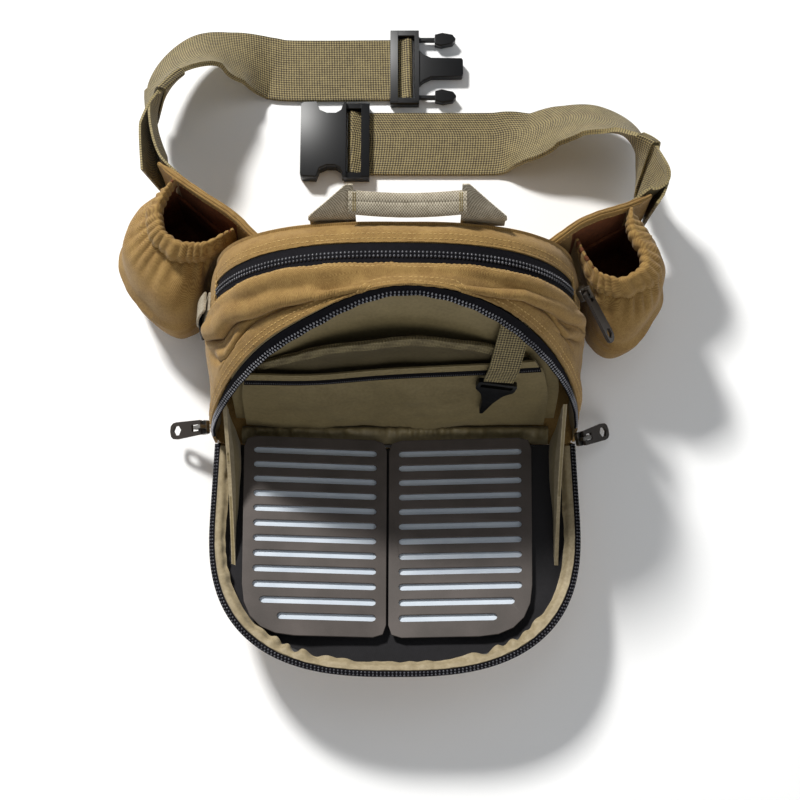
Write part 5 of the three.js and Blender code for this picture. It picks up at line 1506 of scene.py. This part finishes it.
def belt_stations(route, wing):
    """The whole belt: its run, the turn, the way back to the keeper and the tail."""
    run = belt_run(route, wing)
    turn = bar_turn(route)
    back = slice(keeper_index(route, run) - BELT_FINE // 3, None)
    bar = np.array([route.bar, route.floor_y])
    clear = np.linalg.norm(run.middles[back][::-1, :2] - bar, axis=1) > 2 * BAR_FALL
    returned = (run.middles[back] + run.outwards[back] * LAYER_STEP)[::-1][clear]
    returned_edges = run.edges[back][::-1][clear]
    rows = [(*returned[-1], 0), *route.tail]
    tail = leaned_stations(rows, -route.side, (len(rows) - 1) * 12)
    share = np.clip(np.arange(len(tail.middles)) / (len(tail.middles) / 2), 0, 1)[:, None]
    tail_edges = unit(lerp(returned_edges[-1], tail.edges, share))
    middles = np.concatenate([run.middles, turn, returned, tail.middles[1:]])
    turn_edges = np.tile([0.0, -1.0, 0.0], (len(turn), 1))
    edges = np.concatenate([run.edges, turn_edges, returned_edges, tail_edges[1:]])
    return middles, edges


def ribbon_grid(middles, edges, width, columns):
    share = np.linspace(-1, 1, columns)
    return middles[:, None] + edges[:, None] * share[None, :, None] * width / 2


belts = {}
for name, route in ROUTES.items():
    grid = ribbon_grid(*belt_stations(route, WINGS[name]), BELT_WIDTH, 15)
    across = np.abs(shares_down(grid)[1] * 2 - 1)
    thickness = WEBBING + SELVEDGE * ridge(across, 0.94, 0.05)
    belts[name] = cloth_wall(f"belt_{name}_webbing", grid, thickness, [webbing], f"belt_{name}")
    declare_sheet(belts[name])

# %% [markdown]
# ## The keepers
# A short sleeve of webbing goes round both layers of each belt, so it is a closed loop that follows
# several stations of the run. A straight sleeve would cut through the belt, which bends there.

# %% Keepers
KEEPER_SIDE, KEEPER_TOP, KEEPER_SQUARE = 2.2, 1.8, 0.3


def keeper_grid(route, wing):
    run = belt_run(route, wing)
    seat = keeper_index(route, run)
    half_wide = BELT_WIDTH / 2 + KEEPER_SIDE
    half_high = (LAYER_STEP + WEBBING) / 2 + KEEPER_TOP
    angle = np.linspace(0, 2 * math.pi, 64, endpoint=False)
    wide = np.sign(np.cos(angle)) * np.abs(np.cos(angle)) ** KEEPER_SQUARE
    high = np.sign(np.sin(angle)) * np.abs(np.sin(angle)) ** KEEPER_SQUARE
    columns = []
    for step in np.linspace(-BELT_FINE // 3, BELT_FINE // 3, 7).astype(int):
        middle = run.middles[seat + step] + run.outwards[seat + step] * LAYER_STEP / 2
        columns.append(middle + np.outer(wide * half_wide, run.edges[seat + step])
                       + np.outer(high * half_high, run.outwards[seat + step]))
    return np.stack(columns, 1)


for name, route in ROUTES.items():
    cloth_wall(f"keeper_{name}_webbing", keeper_grid(route, WINGS[name]), TAPE, [webbing], f"keeper_{name}",
               ringed=True)
print("keepers", list(ROUTES))

# %% [markdown]
# ## The handle
# The carrying handle is webbing whose middle is folded into a grip, between two legs that lean out of the
# top seam. It slumps to one side, so legs and grip are three sheets set on measured points. One straight
# band bent in an arc would stand up too stiffly.

# %% Handle
LEG_THICK, GRIP_THICK = 2.0, (3.6, 1.8)
HANDLE_SEAM_Y, HANDLE_SEAM_Z, HANDLE_SEWN_Z = 59.2, 161, 146
HANDLE_APEX_Y, HANDLE_APEX_Z = 75, 176
HANDLE_LEGS = {"left": ((-55, -25), (-31, -26.5)), "right": ((43, 72), (43.5, 48))}
GRIP_EDGES = ((57.5, 169.5, -1), (65, 172, 0), (72, 173.5, -1))
GRIP_FROM, GRIP_TO = -29.5, 46.5


def handle_leg_grid(seam_ends, apex_ends):
    def crossing(share, z=None):
        ends = [lerp(a, b, share) for a, b in zip(seam_ends, apex_ends)]
        across = np.linspace(0, 1, 15)
        height = lerp(HANDLE_SEAM_Z, HANDLE_APEX_Z, share) if z is None else z
        return np.stack([lerp(*ends, across), np.full(15, lerp(HANDLE_SEAM_Y, HANDLE_APEX_Y, share)),
                         np.full(15, height)], -1)
    sewn = [crossing(0, HANDLE_SEWN_Z), crossing(0, HANDLE_SEWN_Z + 8)]
    rows = [*sewn, crossing(0), crossing(0.5), crossing(1)]
    grid = across_rails(rows, 40).transpose(1, 0, 2)
    return pushed(grid, 0.4 * crumple(grid, 12, 40))


def grip_grid():
    along = np.linspace(0, 1, 60)
    sag = 3 * np.sin(math.pi * along)
    lines = [np.stack([lerp(GRIP_FROM, GRIP_TO, along), y + pull * 0.4 * sag, z - sag], -1)
             for y, z, pull in GRIP_EDGES]
    grid = across_rails(lines, 25)
    across = shares_down(grid)[1]
    return pushed(grid, -0.7 * ridge(across, 0.5, 0.05) - 0.9 * np.abs(across * 2 - 1) ** 4)


for name, ends in HANDLE_LEGS.items():
    node = "handle" if name == "left" else None
    cloth_wall(f"handle_leg_{name}", handle_leg_grid(*ends), LEG_THICK, [handle_webbing], node)
grip_points = grip_grid()
across_grip = np.abs(shares_down(grip_points)[1] * 2 - 1)
grip_thick = lerp(*GRIP_THICK, across_grip ** 4)
grip = cloth_wall("handle_grip", grip_points, grip_thick, [handle_webbing], None)
print("handle grip", GRIP_TO - GRIP_FROM, "mm long")

# %% [markdown]
# ## Key strap and side loop
# A narrow strap sewn to the divider holds the key hook, and a tab on the left side is folded round a
# ring. Both are short ribbons, made as the belts are: middles along a line, and edges to both sides of
# it.

# %% Key strap and side tab
KEY_WIDTH, KEY_STEPS, KEY_TURN = 21, 50, math.radians(14)
KEY_TOP, KEY_FOOT = (81, 134), (71, 82)
TAB_WIDTH, TAB_LEAN = 14.5, math.radians(12)
TAB_ROWS = ((-127.7, 24.5, 90), (-130.7, 23.1, 79), (-133.8, 21.5, 68), (-134.4, 20.7, 64),
            (-136.3, 20.3, 61.8), (-138.2, 20.7, 64), (-138.5, 21.5, 68), (-135.5, 23.1, 80),
            (-130.5, 24.5, 91))


def key_strap_grid():
    down = np.linspace(0, 1, KEY_STEPS)
    x, z = [lerp(top, foot, down) for top, foot in zip(KEY_TOP, KEY_FOOT)]
    y = DIVIDER.foot_y + DIVIDER.lean * z - lerp(1.2, 15.5, np.minimum(1, down * 1.4))
    edges = np.tile([math.cos(KEY_TURN), 0, -math.sin(KEY_TURN)], (KEY_STEPS, 1))
    return ribbon_grid(np.stack([x, y, z], -1), edges, KEY_WIDTH, 11)


def side_tab_grid():
    middles = curve_through(TAB_ROWS, 64)
    edges = np.tile([0, math.cos(TAB_LEAN), -math.sin(TAB_LEAN)], (len(middles), 1))
    return ribbon_grid(middles, edges, TAB_WIDTH, 9)


key_strap = cloth_wall("key_strap_webbing", key_strap_grid(), WEBBING, [webbing], "key_strap")
side_tab = cloth_wall("side_tab_webbing", side_tab_grid(), TAPE, [handle_webbing], "side_tab")
declare_sheet(key_strap)

# %% [markdown]
# ## Zip teeth
# A coil zip is a spiral of nylon wire sewn along the tape's edge. Each turn shows as a small bright loop,
# so a row of rounded beads reads as coil. They stand 2.6 mm apart, somewhat coarser than a real coil,
# which would blur into a line here. The closed main zip shows two rows side by side, and an opened half
# shows the heel and the head of each loop. A swept spiral would be truer, but has far more faces than
# anyone can see.

# %% Zip teeth
TOOTH_PITCH = 2.6
TOOTH = (0.85, 1.15, 0.75)
RIM_ROWS, RIM_TOOTH = (0.9, 2.7), (0.7, 0.75, 0.6)
ARCH_TOOTH = (0.62, 0.95, 0.7)
MAIN_ROWS = (7.7, 10.1)
EDGE_ROWS = (1.1, 3.3)
FINE_ROWS, FINE_PITCH, FINE_TOOTH = (3.0,), 1.5, (0.5, 0.9, 0.45)
TOOTH_LIFT = 0.25


def coil(name, cloth, rows, pitch, sizes, material, far=False):
    places = []
    for row in rows:
        places += stitch_places(seam(cloth, row, pitch, far), sizes, TOOTH_LIFT)
    return beads(name, TOOTH_BEAD, places, material)


# The coils' grey is painted highlight, and the arch's paler grey is more painted highlight, for glints finer
# than a pixel.
coil("main_zip_coil", main_zip, MAIN_ROWS, TOOTH_PITCH, TOOTH, coil_grey_painted_glint)
coil("arch_zip_coil", arch_zip, EDGE_ROWS, TOOTH_PITCH, ARCH_TOOTH, coil_pale_painted_glint, far=True)
coil("flap_zip_coil", flap_zip, RIM_ROWS, TOOTH_PITCH, RIM_TOOTH, coil_grey_painted_glint)
coil("pocket_zip_coil", pocket_zip, FINE_ROWS, FINE_PITCH, FINE_TOOTH, coil_grey_painted_glint)

# %% [markdown]
# ## Seams
# Topstitching shows where the panels meet: two rows along each side of the main zip, two beside the front
# opening, one round each pocket's casing, and short bars where webbing is sewn down. A dashed texture
# could draw them, but would not catch the light as thread does.

# %% Stitch lines
def sewn_line(lines, name, material, sizes=STITCH["half"]):
    places = [place for line in lines for place in stitch_places(line, sizes)]
    return beads(name, STITCH_BEAD, places, material)


def casing_reach(cloth):
    """How far down the cloth a pocket's casing ends, as the mean of its rows."""
    reach = lengths_along(cloth.grid.transpose(1, 0, 2)).mean(axis=1)
    heights = cloth.grid[..., 2].mean(axis=0)
    top = int(np.argmax(heights[:len(heights) // 2]))
    return reach[top + int(np.argmax(heights[top:] < CASING_SEAM + 1.2))]


casing_seams = {name: float(casing_reach(pocket)) for name, pocket in pockets.items()}
print("casing seams", [round(reach, 1) for reach in casing_seams.values()], "mm down the cloth")

# %% [markdown]
# ### Stitches on canvas
# Each row is named by its distance in mm from the near or the far edge of the cloth. Pale thread on tan
# canvas is what the eye follows round the pack.

# %% Stitches on canvas
PITCH = STITCH["pitch"]
REAR_ROWS = (2.6, 6.2)
FRONT_ROWS, OPENING_ROWS = (3.1, 7.3), (2.4, 5.6)
BINDING_ROW = 1.5
sewn_line([seam(rear_gusset, away, PITCH, far=True) for away in REAR_ROWS],
          "rear_gusset_stitches", thread)
sewn_line([seam(front_gusset, away, PITCH) for away in FRONT_ROWS]
          + [seam(front_gusset, away, PITCH, far=True) for away in OPENING_ROWS],
          "front_gusset_stitches", thread)
for name, pocket in pockets.items():
    sewn_line([seam(pocket, casing_seams[name], PITCH, rows=slice(6, -6))],
              f"pocket_{name}_stitches", thread)
    sewn_line([seam(bindings[name], BINDING_ROW, PITCH, far=far) for far in (False, True)],
              f"wing_{name}_stitches", thread)

# %% [markdown]
# ### Stitches on linings and webbing
# These are finer and in a thread close to the cloth's colour. Webbing is sewn across its width, in bars
# near its ends, and the belts show theirs on both faces.

# %% Stitches on linings and webbing
LINING_PITCH, LINING_STITCH = 2.4, (0.9, 0.3, 0.25)
STRAP_STITCH = (0.85, 0.35, 0.3)
BELT_PITCH, BELT_STITCH = 2.6, (1.0, 0.4, 0.35)
TACK_PITCH, TACK_STITCH = 1.2, (0.8, 0.45, 0.4)
BOTH = (False, True)
TACK_ROWS = (3.0, 4.4)
sewn_line([seam(pocket_band, 1.6, LINING_PITCH, far=True), seam(pocket_band, 1.4, LINING_PITCH),
           seam(zip_pocket, 1.8, LINING_PITCH, far=True)],
          "pocket_stitches", khaki_thread, LINING_STITCH)
sewn_line([cross_seam(key_strap, 3.0, 2.2, far=True), cross_seam(side_tab, 3.0, 2.0)],
          "strap_stitches", khaki_thread, STRAP_STITCH)
for name, rows, far in (("belt_tail_hems", (3.0, 9.0), True), ("belt_root_seams", (3.0, 20.0), False)):
    sewn_line([cross_seam(belt, away, BELT_PITCH, far=far, inside=inside) for belt in belts.values()
               for away in rows for inside in BOTH], name, khaki_thread, BELT_STITCH)
sewn_line([cross_seam(grip, away, TACK_PITCH, far, columns=slice(3, -3)) for away in TACK_ROWS
           for far in BOTH], "handle_bar_tacks", khaki_thread, TACK_STITCH)

# %% [markdown]
# ## Moulded and metal pieces
# The buckle, hooks, fly panels, sliders and pulls keep the frame's own solids. A weld joins their split
# corners, and a small bevel rounds the edges as a mould would, so that they catch a thin highlight. A
# remesh would round them too, but would lose their exact faces.

# %% Finish the hard pieces
HARD_FINISHES = (
    (acetal, 1.2, ("buckle_male", "buckle_female")),
    (acetal, 0.5, ("key_hook",)),
    (acetal, 0.4, ("side_ring",)),
    (panel_plastic, 0.35, ("insert_plate_left", "insert_plate_right")),
    (foam, 0.6, ("insert_foam_left", "insert_foam_right")),
    (zinc, 0.3, ("flap_slider_left", "flap_slider_right", "main_slider")),
    (pull_rubber, 0.4, ("flap_pull_left", "flap_pull_right", "main_pull")),
)
WELD_MM, BEVEL_SEGMENTS, BEVEL_ANGLE = 0.02, 3, math.radians(32)


def finish_hard(node, material, bevel_mm):
    node.data.materials.clear()
    node.data.materials.append(material)
    weld = node.modifiers.new("weld", "WELD")
    weld.merge_threshold = WELD_MM * MM
    bevel = node.modifiers.new("bevel", "BEVEL")
    bevel.width = bevel_mm * MM
    bevel.segments = BEVEL_SEGMENTS
    bevel.limit_method = "ANGLE"
    bevel.angle_limit = BEVEL_ANGLE
    bevel.harden_normals = False


for material, bevel_mm, names in HARD_FINISHES:
    for name in names:
        finish_hard(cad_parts[name], material, bevel_mm)
print("finished", sum(len(names) for material, bevel_mm, names in HARD_FINISHES), "hard pieces")
